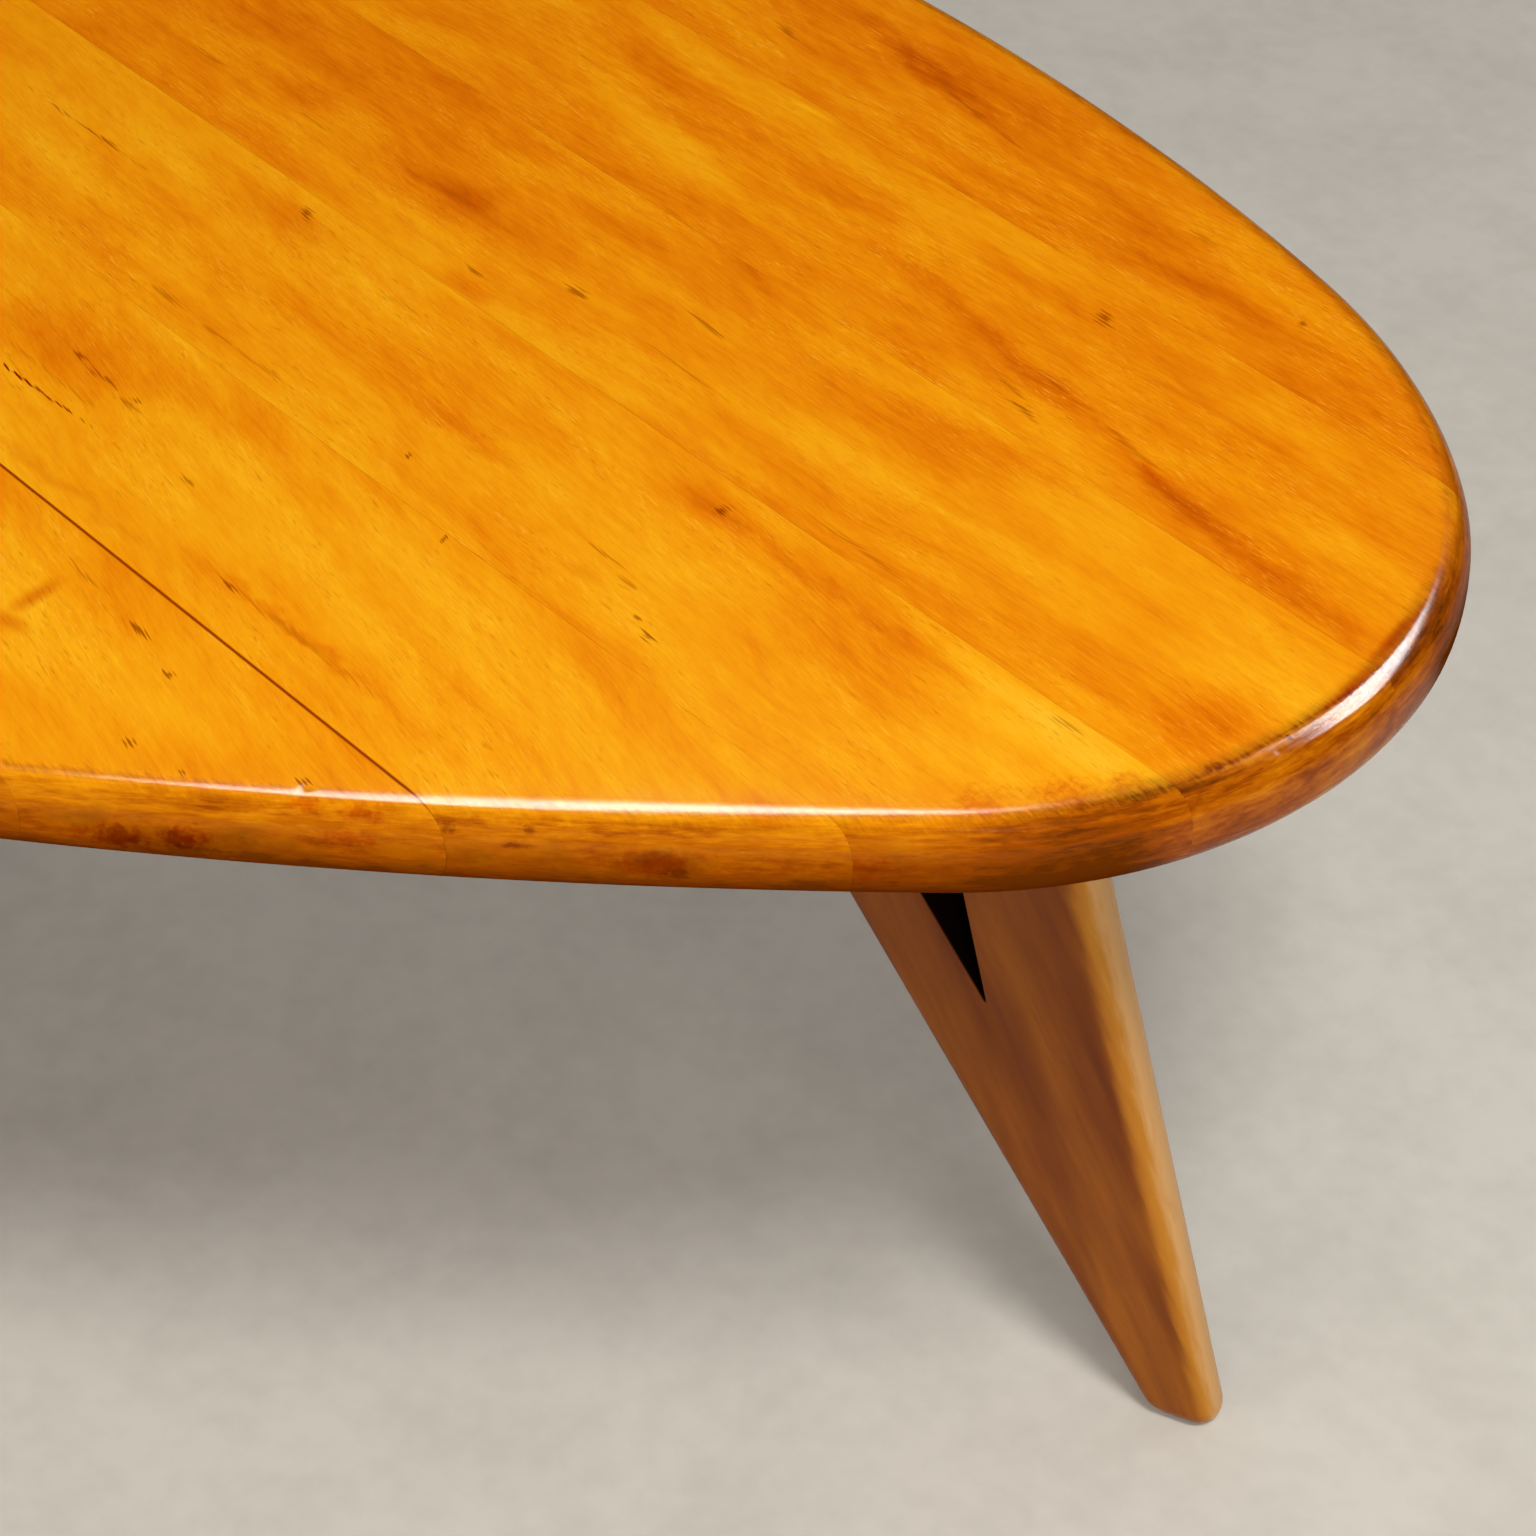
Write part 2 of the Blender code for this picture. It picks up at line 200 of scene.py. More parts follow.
@dataclass(frozen=True)
class Outline:
    """The top's plan outline: arcs from the back middle round the nose to the front corner, mirrored."""

    half_length: float
    half_depth: float
    back_radius: float = 1130 * MM
    back_turn: float = math.radians(12.5)
    shoulder_radius: float = 300 * MM
    shoulder_turn: float = math.radians(25.0)
    nose_radius: float = 192 * MM
    side_radius: float = 2100 * MM
    front_radius: float = 315 * MM
    step: float = 0.5 * MM

    def arc(self, start: np.ndarray, heading: float, radius: float, turn: float) -> np.ndarray:
        """Points of a clockwise arc: the start turned about the centre on its right hand.

        Args:
            start: Where the arc starts.
            heading: Which way it sets off, in radians from +X.
            radius: Its radius.
            turn: How far it turns, in radians.

        Returns:
            The points after the start.
        """
        count = max(2, int(radius * turn / self.step))
        angle = -np.linspace(0, turn, count + 1)[1:]
        centre = start + radius * np.array([math.sin(heading), -math.cos(heading)])
        arm = start - centre
        x = centre[0] + arm[0] * np.cos(angle) - arm[1] * np.sin(angle)
        y = centre[1] + arm[0] * np.sin(angle) + arm[1] * np.cos(angle)
        return np.stack([x, y], axis=1)

    def nose_centre(self) -> np.ndarray:
        """Centre of the nose's circle: below the back bow and shoulder, one radius in from the tip.

        Returns:
            The centre.
        """
        after_back = self.back_radius * (1 - math.cos(self.back_turn))
        turned = self.back_turn + self.shoulder_turn
        drop = after_back + self.shoulder_radius * (math.cos(self.back_turn) - math.cos(turned))
        drop += self.nose_radius * math.cos(turned)
        return np.array([self.half_length - self.nose_radius, self.half_depth - drop])

    def front_centre(self) -> np.ndarray:
        """Centre of the front corner's circle."""
        return np.array([0.0, self.front_radius - self.half_depth])

    def right_half(self) -> np.ndarray:
        """Points of the right half, from back middle to front corner.

        The side is one bow tangent to both circles, so its centre lies at the bow's radius less each
        circle's radius from that circle's centre.

        Returns:
            The points, in order.
        """
        turned = self.back_turn + self.shoulder_turn
        nose, front = self.nose_centre(), self.front_centre()
        shoulder_start = nose + (self.nose_radius - self.shoulder_radius) * np.array(
            [math.sin(turned), math.cos(turned)])
        shoulder_start += self.shoulder_radius * np.array(
            [math.sin(self.back_turn), math.cos(self.back_turn)])
        back_start = np.array([
            shoulder_start[0] - self.back_radius * math.sin(self.back_turn), self.half_depth])
        parts = [np.array([[0.0, self.half_depth]]), back_start[None]]
        parts.append(self.arc(back_start, 0.0, self.back_radius, self.back_turn))
        parts.append(self.arc(
            parts[-1][-1], -self.back_turn, self.shoulder_radius, self.shoulder_turn))

        apart = nose - front
        distance = float(np.hypot(*apart))
        to_nose = self.side_radius - self.nose_radius
        to_front = self.side_radius - self.front_radius
        along = (distance**2 + to_front**2 - to_nose**2) / (2 * distance)
        across = math.sqrt(to_front**2 - along**2)
        unit = apart / distance
        bow = front + unit * along + np.array([-unit[1], unit[0]]) * across
        nose_heading = math.atan2(*(nose - bow)[::-1]) - math.pi / 2
        front_heading = math.atan2(*(front - bow)[::-1]) - math.pi / 2
        parts.append(self.arc(
            parts[-1][-1], -turned, self.nose_radius, -turned - nose_heading))
        parts.append(self.arc(
            parts[-1][-1], nose_heading, self.side_radius, nose_heading - front_heading))
        parts.append(self.arc(
            parts[-1][-1], front_heading, self.front_radius, front_heading + math.pi))
        return np.concatenate(parts)

    def closed(self, count: int) -> tuple[np.ndarray, np.ndarray]:
        """Points at even distances round the whole outline.

        A normal is the tangent, from the point before to the point after, turned a right angle out.

        Args:
            count: How many points.

        Returns:
            The points, anticlockwise, and their outward normals.
        """
        right = self.right_half()
        loop = np.concatenate([right, right[-2:0:-1] * np.array([-1.0, 1.0])])[::-1]
        closed = np.concatenate([loop, loop[:1]])
        length = np.concatenate([[0.0], np.cumsum(np.hypot(*np.diff(closed, axis=0).T))])
        wanted = np.arange(count) * length[-1] / count
        points = np.stack([np.interp(wanted, length, closed[:, k]) for k in (0, 1)], axis=1)
        tangent = np.roll(points, -1, axis=0) - np.roll(points, 1, axis=0)
        tangent /= np.linalg.norm(tangent, axis=1)[:, None]
        return points, np.stack([tangent[:, 1], -tangent[:, 0]], axis=1)


@dataclass(frozen=True)
class Dent:
    """A small knock on the rim: its place in millimetres, how far down the rim, its radius and depth."""

    x: float
    y: float
    down: float
    radius: float
    depth: float


@dataclass(frozen=True)
class TopForm:
    """The whole top as one surface: the outline drawn in along a rounded rim profile."""

    top: float
    thickness: float
    outline: Outline
    rim_width: float = 14.0 * MM
    roundness: float = 2.6
    columns: int = 1500
    rim_rows: int = 40
    flat_rows: tuple[float, ...] = (0.6, 1.2, 2.0, 3.0, 4.5, 7.0, 12.0, 24.0)
    wave: float = 0.22 * MM
    sanding_waves: tuple[tuple[int, float, float], ...] = ((7, 1.0, 0.6), (17, 0.7, 2.1), (41, 0.5, 4.0))
    rim_path_share: float = 1.4
    dents: tuple[Dent, ...] = (
        Dent(294, -168, 0.06, 1.6, 0.25), Dent(316, -150, 0.30, 2.2, 0.35),
        Dent(340, -126, 0.42, 2.5, 0.35), Dent(489, 88, 0.12, 0.9, 0.3),
        Dent(452, -20, 0.35, 4.0, 0.35), Dent(468, 8, 0.30, 3.6, 0.4),
        Dent(476, 30, 0.12, 2.6, 0.5), Dent(-330, -147, 0.40, 3.4, 0.45),
        Dent(-478, 130, 0.30, 3.0, 0.5), Dent(-120, 334, 0.35, 2.6, 0.4),
        Dent(90, -322, 0.55, 3.0, 0.5),
    )

    def surface(self) -> tuple[np.ndarray, list[list[int]], dict[str, np.ndarray]]:
        """Points, faces and attributes of the closed top.

        The rim profile is half a superellipse: at an angle from -90 to +90 degrees its height is half
        the thickness times the sine to a power, and its inset the rim's width times one minus the
        cosine to the same power. Slow sines round the outline push it in and out a little, as hand
        sanding does, and each dent is a bell-shaped hollow along the surface normal. Flat rows follow
        inside the rim, so that the finish can fade in from the edge. The attributes are how far down
        the rim a point lies, from 0 to 1, how far inside it, and its place on a cylinder as long round
        as the outline, on which the rim's figure runs without a break.

        Returns:
            The arrays that a mesh is made from.
        """
        plan, normal = self.outline.closed(self.columns)
        angle = np.linspace(-math.pi / 2, math.pi / 2, self.rim_rows)
        power = 2 / self.roundness
        height = np.sign(np.sin(angle)) * np.abs(np.sin(angle)) ** power * self.thickness / 2
        inset = self.rim_width * (1 - np.abs(np.cos(angle)) ** power)
        flat = np.array(self.flat_rows) * MM
        inset = np.concatenate([self.rim_width + flat[::-1], inset, self.rim_width + flat])
        height = np.pad(height, len(flat), mode="edge")
        lift = np.pad(np.sin(angle), len(flat), mode="edge")
        turn = np.linspace(0, 2 * math.pi, self.columns, endpoint=False)
        swell = sum(share * np.sin(count * turn + phase) for count, share, phase in self.sanding_waves)
        sanding = self.wave * swell / sum(share for _, share, _ in self.sanding_waves)
        full = 1 - lift**2
        reach = inset[:, None] - sanding[None] * full[:, None]
        x = plan[None, :, 0] - normal[None, :, 0] * reach
        y = plan[None, :, 1] - normal[None, :, 1] * reach
        z = np.broadcast_to((self.top - self.thickness / 2 + height)[:, None], x.shape)
        points = np.stack([x, y, z], axis=-1)
        rows = len(inset)
        down = np.clip((rows - 1 - len(flat) - np.arange(rows)) / (self.rim_rows - 1), 0, 1)
        inward = np.clip(inset - self.rim_width, 0, None)

        out = np.sqrt(full)[:, None]
        facing = np.stack([
            normal[None, :, 0] * out, normal[None, :, 1] * out, np.broadcast_to(lift[:, None], x.shape)],
            axis=-1)
        for dent in self.dents:
            column = int(np.argmin(np.hypot(plan[:, 0] - dent.x * MM, plan[:, 1] - dent.y * MM)))
            row = len(flat) + int(round((1 - dent.down) * (self.rim_rows - 1)))
            away = np.linalg.norm(points - points[row, column], axis=-1)
            bell = np.exp(-((away / (dent.radius * MM)) ** 2)) * dent.depth * MM
            points = points - facing * bell[..., None]

        faces = grid_faces(rows, self.columns).tolist()
        last = (rows - 1) * self.columns
        faces.append(list(range(self.columns))[::-1])
        faces.append(list(range(last, last + self.columns)))
        length = np.hypot(*(np.roll(plan, -1, axis=0) - plan).T).sum()
        circle = length / (2 * math.pi)
        along = np.stack([circle * np.cos(turn), circle * np.sin(turn)], axis=-1)
        path = down * self.thickness * self.rim_path_share
        way = np.concatenate([
            np.broadcast_to(along[None], (rows, self.columns, 2)),
            np.broadcast_to(path[:, None, None], (rows, self.columns, 1))], axis=-1)
        return points.reshape(-1, 3), faces, {
            "down": np.repeat(down, self.columns),
            "inward": np.repeat(inward, self.columns),
            "rim_way": way.reshape(-1, 3),
        }


class MarkKind(Enum):
    """What a mark in the wood is: darker grain, paler grain, a crack or pore full of dirt, or grime."""

    STAIN = "stain"
    LIGHT = "light"
    FLECK = "fleck"
    SMUDGE = "smudge"


STAIN, LIGHT, FLECK, SMUDGE = MarkKind

# In millimetres, as all marks are.
TABLE_HEIGHT = 430.0


@dataclass(frozen=True)
class Mark:
    """One mark in the wood, in millimetres: its middle, half length, half width and turn in degrees.

    Its middle is on the top's face unless z says how high above the floor it is, and height is its
    half height.
    """

    kind: MarkKind
    x: float
    y: float
    length: float
    width: float
    turn: float = 0.0
    strength: float = 1.0
    z: float = TABLE_HEIGHT
    height: float = 7.0


def marks(kind: MarkKind, *rows: tuple[float, ...]) -> tuple[Mark, ...]:
    """Marks of one kind, from rows of x, y, length, width and so on."""
    return tuple(Mark(kind, *row) for row in rows)


@dataclass(frozen=True)
class Grain:
    """One layer of figure: size along, across and through in millimetres, slant, weight and detail."""

    size: tuple[float, float, float]
    slant: float = 0.0
    weight: float = 1.0
    detail: float = 2.0


@dataclass(frozen=True)
class Specks:
    """Short flecks along the grain: their size, slant, the noise they start and are full at, and tint."""

    size: tuple[float, float, float]
    slant: float
    start: float
    full: float
    strength: float
    colour: str


@dataclass(frozen=True)
class BoardLook:
    """What sets one board's wood apart: where its pattern starts, its grain's turn, tone and marks."""

    offset: tuple[float, float, float]
    grain_turn: float = 0.0
    tone: float = 0.0
    rim_tone: float = 0.5
    border: float = 0.35
    shaded_seam: float | None = None
    marks: tuple[Mark, ...] = ()


@dataclass(frozen=True)
class LacqueredPine:
    """Amber-lacquered pine, planed and hand sanded: warm see-through gloss over soft streaky grain.

    The rim shows end grain, drinks more stain and is dirtier, so it is darker and browner. Its upper
    edge is worn, with grime in the wear. Pores and shining fibres are finer than a pixel on the real
    boards, so both are drawn coarser here, and so is the dust in the lacquer, which speckles its gloss.
    """

    tones: tuple[tuple[float, str], ...] = (
        (0.05, "9E3E01"), (0.25, "CB5F01"), (0.42, "E07B04"), (0.55, "EA9108"), (0.70, "F0A511"),
        (0.92, "F4B82B"))
    rim_tones: tuple[tuple[float, str], ...] = (
        (0.05, "5A2802"), (0.30, "8A3F02"), (0.50, "A85A03"), (0.75, "C87C08"))
    grains: tuple[Grain, ...] = (
        Grain((190, 46, 60), -3.0, 0.56, 2.0),
        Grain((70, 17, 40), -7.0, 0.34, 3.0),
        Grain((20, 6.0, 20), -20.0, 0.22, 3.0),
        Grain((70, 3.2, 20), -3.0, 0.18, 3.0),
        Grain((60, 1.3, 20), -5.0, 0.08, 2.0),
        Grain((22, 1.0, 10), -6.0, 0.15, 2.0),
        Grain((7.0, 1.0, 6), -13.0, 0.11, 2.0),
    )
    bend_size: float = 111.11 * MM
    bend: tuple[float, float, float] = (0.0, 16 * MM, 4 * MM)
    pores: Specks = Specks((7.0, 0.9, 6.0), -4.0, 0.60, 0.74, 0.8, "D0B098")
    shine: Specks = Specks((6.5, 0.8, 6.0), -10.0, 0.59, 0.68, 0.55, "FBB437")

    # Marks have torn outlines: long ones fray more, flecks follow the fine grain, and those on the rim
    # crumble. A mark fades between two distances from its middle, given in its own radii.
    fray_size: float = 18.182 * MM
    long_mark: float = 24.0
    long_fray: tuple[float, float, float] = (46 * MM, 14 * MM, 6 * MM)
    short_fray: tuple[float, float, float] = (5 * MM, 1.3 * MM, 2 * MM)
    grain_fray: float = 7.0
    crumb_size: float = 3.3333 * MM
    crumb_fray: float = 2.8
    soft_fade: tuple[float, float] = (1.6, 0.1)
    crisp_fade: tuple[float, float] = (1.4, 0.3)
    stain_weight: float = 0.17
    fleck_tint: str = "8A1008"
    smudge_tint: str = "E4AE78"
    # Painted shade along the open seam: its colour, its fade, and its loss down the rim.
    seam_shade_colour: str = "9A3802"
    seam_shade_fade: tuple[float, float] = (0.90 * MM, 0.36 * MM)
    seam_shade_rim_loss: float = 3 * MM

    # The rim's figure runs along, along and down it. At the table's two ends, in the end zone, the end
    # grain is darker; in the tip zone, furthest out, it is rubbed paler again and keeps its gloss. Both
    # zones are distances from the middle.
    rim_grains: tuple[Grain, ...] = (
        Grain((30, 30, 13), weight=1.10, detail=4.0),
        Grain((26, 26, 2.6), weight=0.90, detail=4.0),
        Grain((7, 7, 1.2), weight=0.45, detail=3.0),
    )
    rim_base: float = -1.145
    end_zone: tuple[float, float] = (446 * MM, 474 * MM)
    end_tone: float = -0.21
    tip_zone: tuple[float, float] = (482 * MM, 494 * MM)
    tip_tone: float = 0.19
    low_weights: tuple[float, ...] = (0.90, 0.34, 0.12)
    low_fade: tuple[float, float] = (1.14, 1.38)
    low_early_fade: tuple[float, float] = (0.94, 1.20)
    low_early_tone: float = -0.22
    low_strength: float = 0.92
    low_tip_loss: float = 0.7
    # Colour of the lower rim, darker towards the bottom, partly painted shade.
    low_shade_colour: str = "5A2402"

    # How far past the top's upper edge a place lies decides the rim's colour and the worn line. From top
    # to bottom the rim counts as the rim drop, and places on the face are negative.
    rim_drop: float = 40 * MM
    rim_fade: tuple[float, float] = (2.5 * MM, 13 * MM)
    rim_end_shift: float = 4.5 * MM
    rim_strand_shift: float = 5 * MM
    strand_size: tuple[float, float, float] = (7.0, 1.3, 4.0)
    worn_middle: float = 3 * MM
    worn_tip_shift: float = 4.5 * MM
    worn_strand_reach: float = 6.5 * MM
    worn_cloud_reach: float = 5 * MM
    worn_fade: tuple[float, float] = (-4.0 * MM, -6.6 * MM)
    worn_end_strength: float = 0.60
    worn_tip_gain: float = 0.65
    border_tint: str = "A05A34"

    roughness: float = 0.5
    grain_relief: float = 0.06 * MM
    coat: float = 1.0
    coat_end: tuple[float, float] = (0.24, 0.50)
    flat_coat: float = 0.35
    flat_fade: tuple[float, float] = (2.0 * MM, 9.0 * MM)
    coat_refraction: float = 1.3
    coat_roughness: float = 0.11
    dust_size: float = 0.76923 * MM
    dust_relief: float = 0.05 * MM

    def material(self, name: str, look: BoardLook) -> bpy.types.Material:
        """Build one board's material.

        Args:
            name: The material's name.
            look: What sets the board apart.

        Returns:
            The material.
        """
        material, tree, shader = new_material(name)
        place = add_node(tree, "TexCoord", out="Object")
        board = add_node(tree, "Mapping", {
            "Vector": place, "Location": look.offset,
            "Rotation": (0.0, 0.0, math.radians(-look.grain_turn))}, vector_type="TEXTURE")
        tone, blotch, fine = self.figure(tree, look, board)
        tone, dark, smudged = self.marked(tree, look, place, tone, fine)
        on_rim, rim_tone, low, border, coat = self.rim(tree, look, place)
        pored, shining = self.scattered(tree, board, blotch)

        # From the wood up: pores, fibres, the rim, its dark foot and worn edge, grime, cracks, painted seam
        # shade.
        layers = [
            ("MULTIPLY", pored, hex_colour(self.pores.colour)),
            ("MIX", shining, hex_colour(self.shine.colour)),
            ("MIX", on_rim, add_node(tree, "ValToRGB", {0: rim_tone}, stops=list(self.rim_tones))),
            ("MIX", low, hex_colour(self.low_shade_colour)),
            ("MULTIPLY", border, hex_colour(self.border_tint)),
            ("MULTIPLY", smudged, hex_colour(self.smudge_tint)),
            ("MULTIPLY", dark, hex_colour(self.fleck_tint)),
        ]
        # The open seam's shade is painted along its edges.
        if look.shaded_seam is not None:
            layers.append(
                ("MIX", self.seam_shade_amount(tree, look.shaded_seam, place), hex_colour(self.seam_shade_colour)))
        colour = add_node(tree, "ValToRGB", {0: tone}, stops=list(self.tones))
        for blend, amount, tint in layers:
            colour = add_node(tree, "Mix", {0: amount, 6: colour, 7: tint}, out=2, data_type="RGBA",
                              blend_type=blend)

        bump = add_node(tree, "Bump", {"Strength": 0.3, "Distance": self.grain_relief, "Height": fine})
        dust = add_node(tree, "TexNoise", {"Vector": place, "Scale": 1 / self.dust_size, "Detail": 2.0})
        ripple = add_node(tree, "Bump", {"Strength": 0.7, "Distance": self.dust_relief, "Height": dust})
        sparkle = add_node(tree, "MapRange", {
            "Value": dust, "From Min": 0.40, "From Max": 0.56, "To Min": 0.45, "To Max": 1.0})
        coat = add_node(tree, "Math", {0: coat, 1: sparkle}, operation="MULTIPLY")
        tree.links.new(coat, shader.inputs["Coat Weight"])
        tree.links.new(colour, shader.inputs["Base Color"])
        tree.links.new(bump, shader.inputs["Normal"])
        tree.links.new(ripple, shader.inputs["Coat Normal"])
        shader.inputs["Roughness"].default_value = self.roughness
        shader.inputs["Specular IOR Level"].default_value = 0.0
        shader.inputs["Coat IOR"].default_value = self.coat_refraction
        shader.inputs["Coat Roughness"].default_value = self.coat_roughness
        return material

    def figure(self, tree: bpy.types.NodeTree, look: BoardLook, board: Any) -> tuple[Any, Any, Any]:
        """Tone of the bare grain: slowly bent layers of stretched noise, added by their weights.

        Args:
            tree: The material's node tree.
            look: What sets the board apart.
            board: Coordinates along and across the board.

        Returns:
            The tone, its blotches and its finest streaks.
        """
        bends = add_node(
            tree, "TexNoise", {"Vector": board, "Scale": 1 / self.bend_size, "Detail": 2.0}, out="Color")
        bends = add_node(tree, "VectorMath", {0: bends, 1: (0.5, 0.5, 0.5)}, operation="SUBTRACT")
        bent = add_node(
            tree, "VectorMath", {0: bends, 1: self.bend, 2: board}, operation="MULTIPLY_ADD")
        tone: Any = 0.5 + look.tone - sum(grain.weight for grain in self.grains) / 2
        layers = []
        for grain in self.grains:
            stretched = add_node(tree, "Mapping", {
                "Vector": bent, "Rotation": (0.0, 0.0, math.radians(grain.slant)),
                "Scale": metres(*grain.size)}, vector_type="TEXTURE")
            layers.append(add_node(tree, "TexNoise", {
                "Vector": stretched, "Scale": 1.0, "Detail": grain.detail, "Roughness": 0.55}))
            tone = add_node(
                tree, "Math", {0: layers[-1], 1: grain.weight, 2: tone}, operation="MULTIPLY_ADD")
        return tone, layers[1], layers[5]

    def marked(
        self, tree: bpy.types.NodeTree, look: BoardLook, place: Any, tone: Any, fine: Any,
    ) -> tuple[Any, Any, Any]:
        """Lay the board's marks: each a soft ellipsoid about its middle, with a torn outline.

        Args:
            tree: The material's node tree.
            look: What sets the board apart.
            place: Object coordinates.
            tone: The grain's tone.
            fine: The grain's finest streaks, which fray the flecks.

        Returns:
            The tone with stains and light places in it, how dark the flecks make it, and how grimy
            the smudges do.
        """
        torn = add_node(
            tree, "TexNoise", {"Vector": place, "Scale": 1 / self.fray_size, "Detail": 4.0}, out="Color")
        torn = add_node(tree, "VectorMath", {0: torn, 1: (0.5, 0.5, 0.5)}, operation="SUBTRACT")
        loose, tight = (
            add_node(tree, "VectorMath", {0: torn, 1: fray, 2: place}, operation="MULTIPLY_ADD")
            for fray in (self.long_fray, self.short_fray))
        frayed = add_node(
            tree, "Math", {0: fine, 1: self.grain_fray, 2: -self.grain_fray / 2}, operation="MULTIPLY_ADD")
        crumbs = add_node(tree, "TexNoise", {
            "Vector": place, "Scale": 1 / self.crumb_size, "Detail": 4.0, "Roughness": 0.6})
        crumbs = add_node(
            tree, "Math", {0: crumbs, 1: self.crumb_fray, 2: -self.crumb_fray / 2},
            operation="MULTIPLY_ADD")
        dark: Any = 0.0
        smudged: Any = 0.0
        for mark in look.marks:
            crisp = mark.kind is FLECK
            local = add_node(tree, "Mapping", {
                "Vector": loose if mark.length > self.long_mark and not crisp else tight,
                "Location": metres(mark.x, mark.y, mark.z),
                "Rotation": (0.0, 0.0, math.radians(mark.turn)),
                "Scale": metres(mark.length, mark.width, mark.height)}, vector_type="TEXTURE")
            reach = add_node(tree, "VectorMath", {0: local}, out="Value", operation="LENGTH")
            if mark.z != TABLE_HEIGHT:
                reach = add_node(tree, "Math", {0: reach, 1: crumbs}, operation="ADD")
            elif crisp:
                reach = add_node(tree, "Math", {0: reach, 1: frayed}, operation="ADD")
            outside, inside = self.crisp_fade if crisp else self.soft_fade
            sign = -1.0 if mark.kind is STAIN else 1.0
            patch = add_node(tree, "MapRange", {
                "Value": reach, "From Min": outside, "From Max": inside, "To Min": 0.0,
                "To Max": sign * mark.strength}, interpolation_type="SMOOTHSTEP")
            if crisp:
                dark = add_node(tree, "Math", {0: patch, 1: dark}, operation="MAXIMUM")
            elif mark.kind is SMUDGE:
                smudged = add_node(tree, "Math", {0: patch, 1: smudged}, operation="MAXIMUM")
            else:
                tone = add_node(
                    tree, "Math", {0: patch, 1: self.stain_weight, 2: tone}, operation="MULTIPLY_ADD")
        return tone, dark, smudged

    def scattered(self, tree: bpy.types.NodeTree, board: Any, blotch: Any) -> list[Any]:
        """How strong the pores and the shining fibres are: both gather where the grain is blotchy.

        Args:
            tree: The material's node tree.
            board: Coordinates along and across the board.
            blotch: The grain's blotches.

        Returns:
            The amounts of pores and of fibres.
        """
        cluster = add_node(tree, "MapRange", {
            "Value": blotch, "From Min": 0.44, "From Max": 0.62, "To Min": 0.10, "To Max": 0.7})
        amounts = []
        for specks in (self.pores, self.shine):
            stretched = add_node(tree, "Mapping", {
                "Vector": board, "Rotation": (0.0, 0.0, math.radians(specks.slant)),
                "Scale": metres(*specks.size)}, vector_type="TEXTURE")
            speck = add_node(tree, "TexNoise", {
                "Vector": stretched, "Scale": 1.0, "Detail": 2.0, "Roughness": 0.5})
            speck = add_node(tree, "MapRange", {
                "Value": speck, "From Min": specks.start, "From Max": specks.full, "To Min": 0.0,
                "To Max": specks.strength})
            amounts.append(add_node(tree, "Math", {0: speck, 1: cluster}, operation="MULTIPLY"))
        return amounts

    def seam_shade_amount(self, tree: bpy.types.NodeTree, seam: float, place: Any) -> Any:
        """How much painted shade lies along the open seam: less with distance from it, and none on the rim.

        Args:
            tree: The material's node tree.
            seam: The seam's Y in millimetres.
            place: Object coordinates.

        Returns:
            The amount.
        """
        apart = add_node(tree, "SeparateXYZ", {"Vector": place}, out="Y")
        apart = add_node(tree, "Math", {0: apart, 1: seam * MM}, operation="SUBTRACT")
        apart = add_node(tree, "Math", {0: apart}, operation="ABSOLUTE")
        down = add_node(tree, "Attribute", out="Fac", attribute_name="down")
        apart = add_node(
            tree, "Math", {0: down, 1: self.seam_shade_rim_loss, 2: apart}, operation="MULTIPLY_ADD")
        far, near = self.seam_shade_fade
        return add_node(tree, "MapRange", {
            "Value": apart, "From Min": far, "From Max": near, "To Min": 0.0, "To Max": 1.0})

    def rim(self, tree: bpy.types.NodeTree, look: BoardLook, place: Any) -> tuple[Any, ...]:
        """Figure of the rounded rim: streaks along it, a lower part partly in painted shade, a worn upper
        line.

        Args:
            tree: The material's node tree.
            look: What sets the board apart.
            place: Object coordinates.

        Returns:
            How far on the rim a place is, the rim's own tone, how strong the dark lower part and the
            worn line are, and how much coat is left.
        """
        down = add_node(tree, "Attribute", out="Fac", attribute_name="down")
        inward = add_node(tree, "Attribute", out="Fac", attribute_name="inward")
        way = add_node(tree, "Attribute", out="Vector", attribute_name="rim_way")
        out = add_node(tree, "SeparateXYZ", {"Vector": place})
        out = add_node(tree, "Math", {0: out}, operation="ABSOLUTE")
        end, tip = (
            add_node(tree, "MapRange", {
                "Value": out, "From Min": start, "From Max": full, "To Min": 0.0, "To Max": 1.0},
                interpolation_type="SMOOTHSTEP")
            for start, full in (self.end_zone, self.tip_zone))
        layers = []
        for grain in self.rim_grains:
            stretched = add_node(tree, "Mapping", {
                "Vector": way, "Location": look.offset, "Scale": metres(*grain.size)},
                vector_type="TEXTURE")
            layers.append(add_node(tree, "TexNoise", {
                "Vector": stretched, "Scale": 1.0, "Detail": grain.detail, "Roughness": 0.66}))
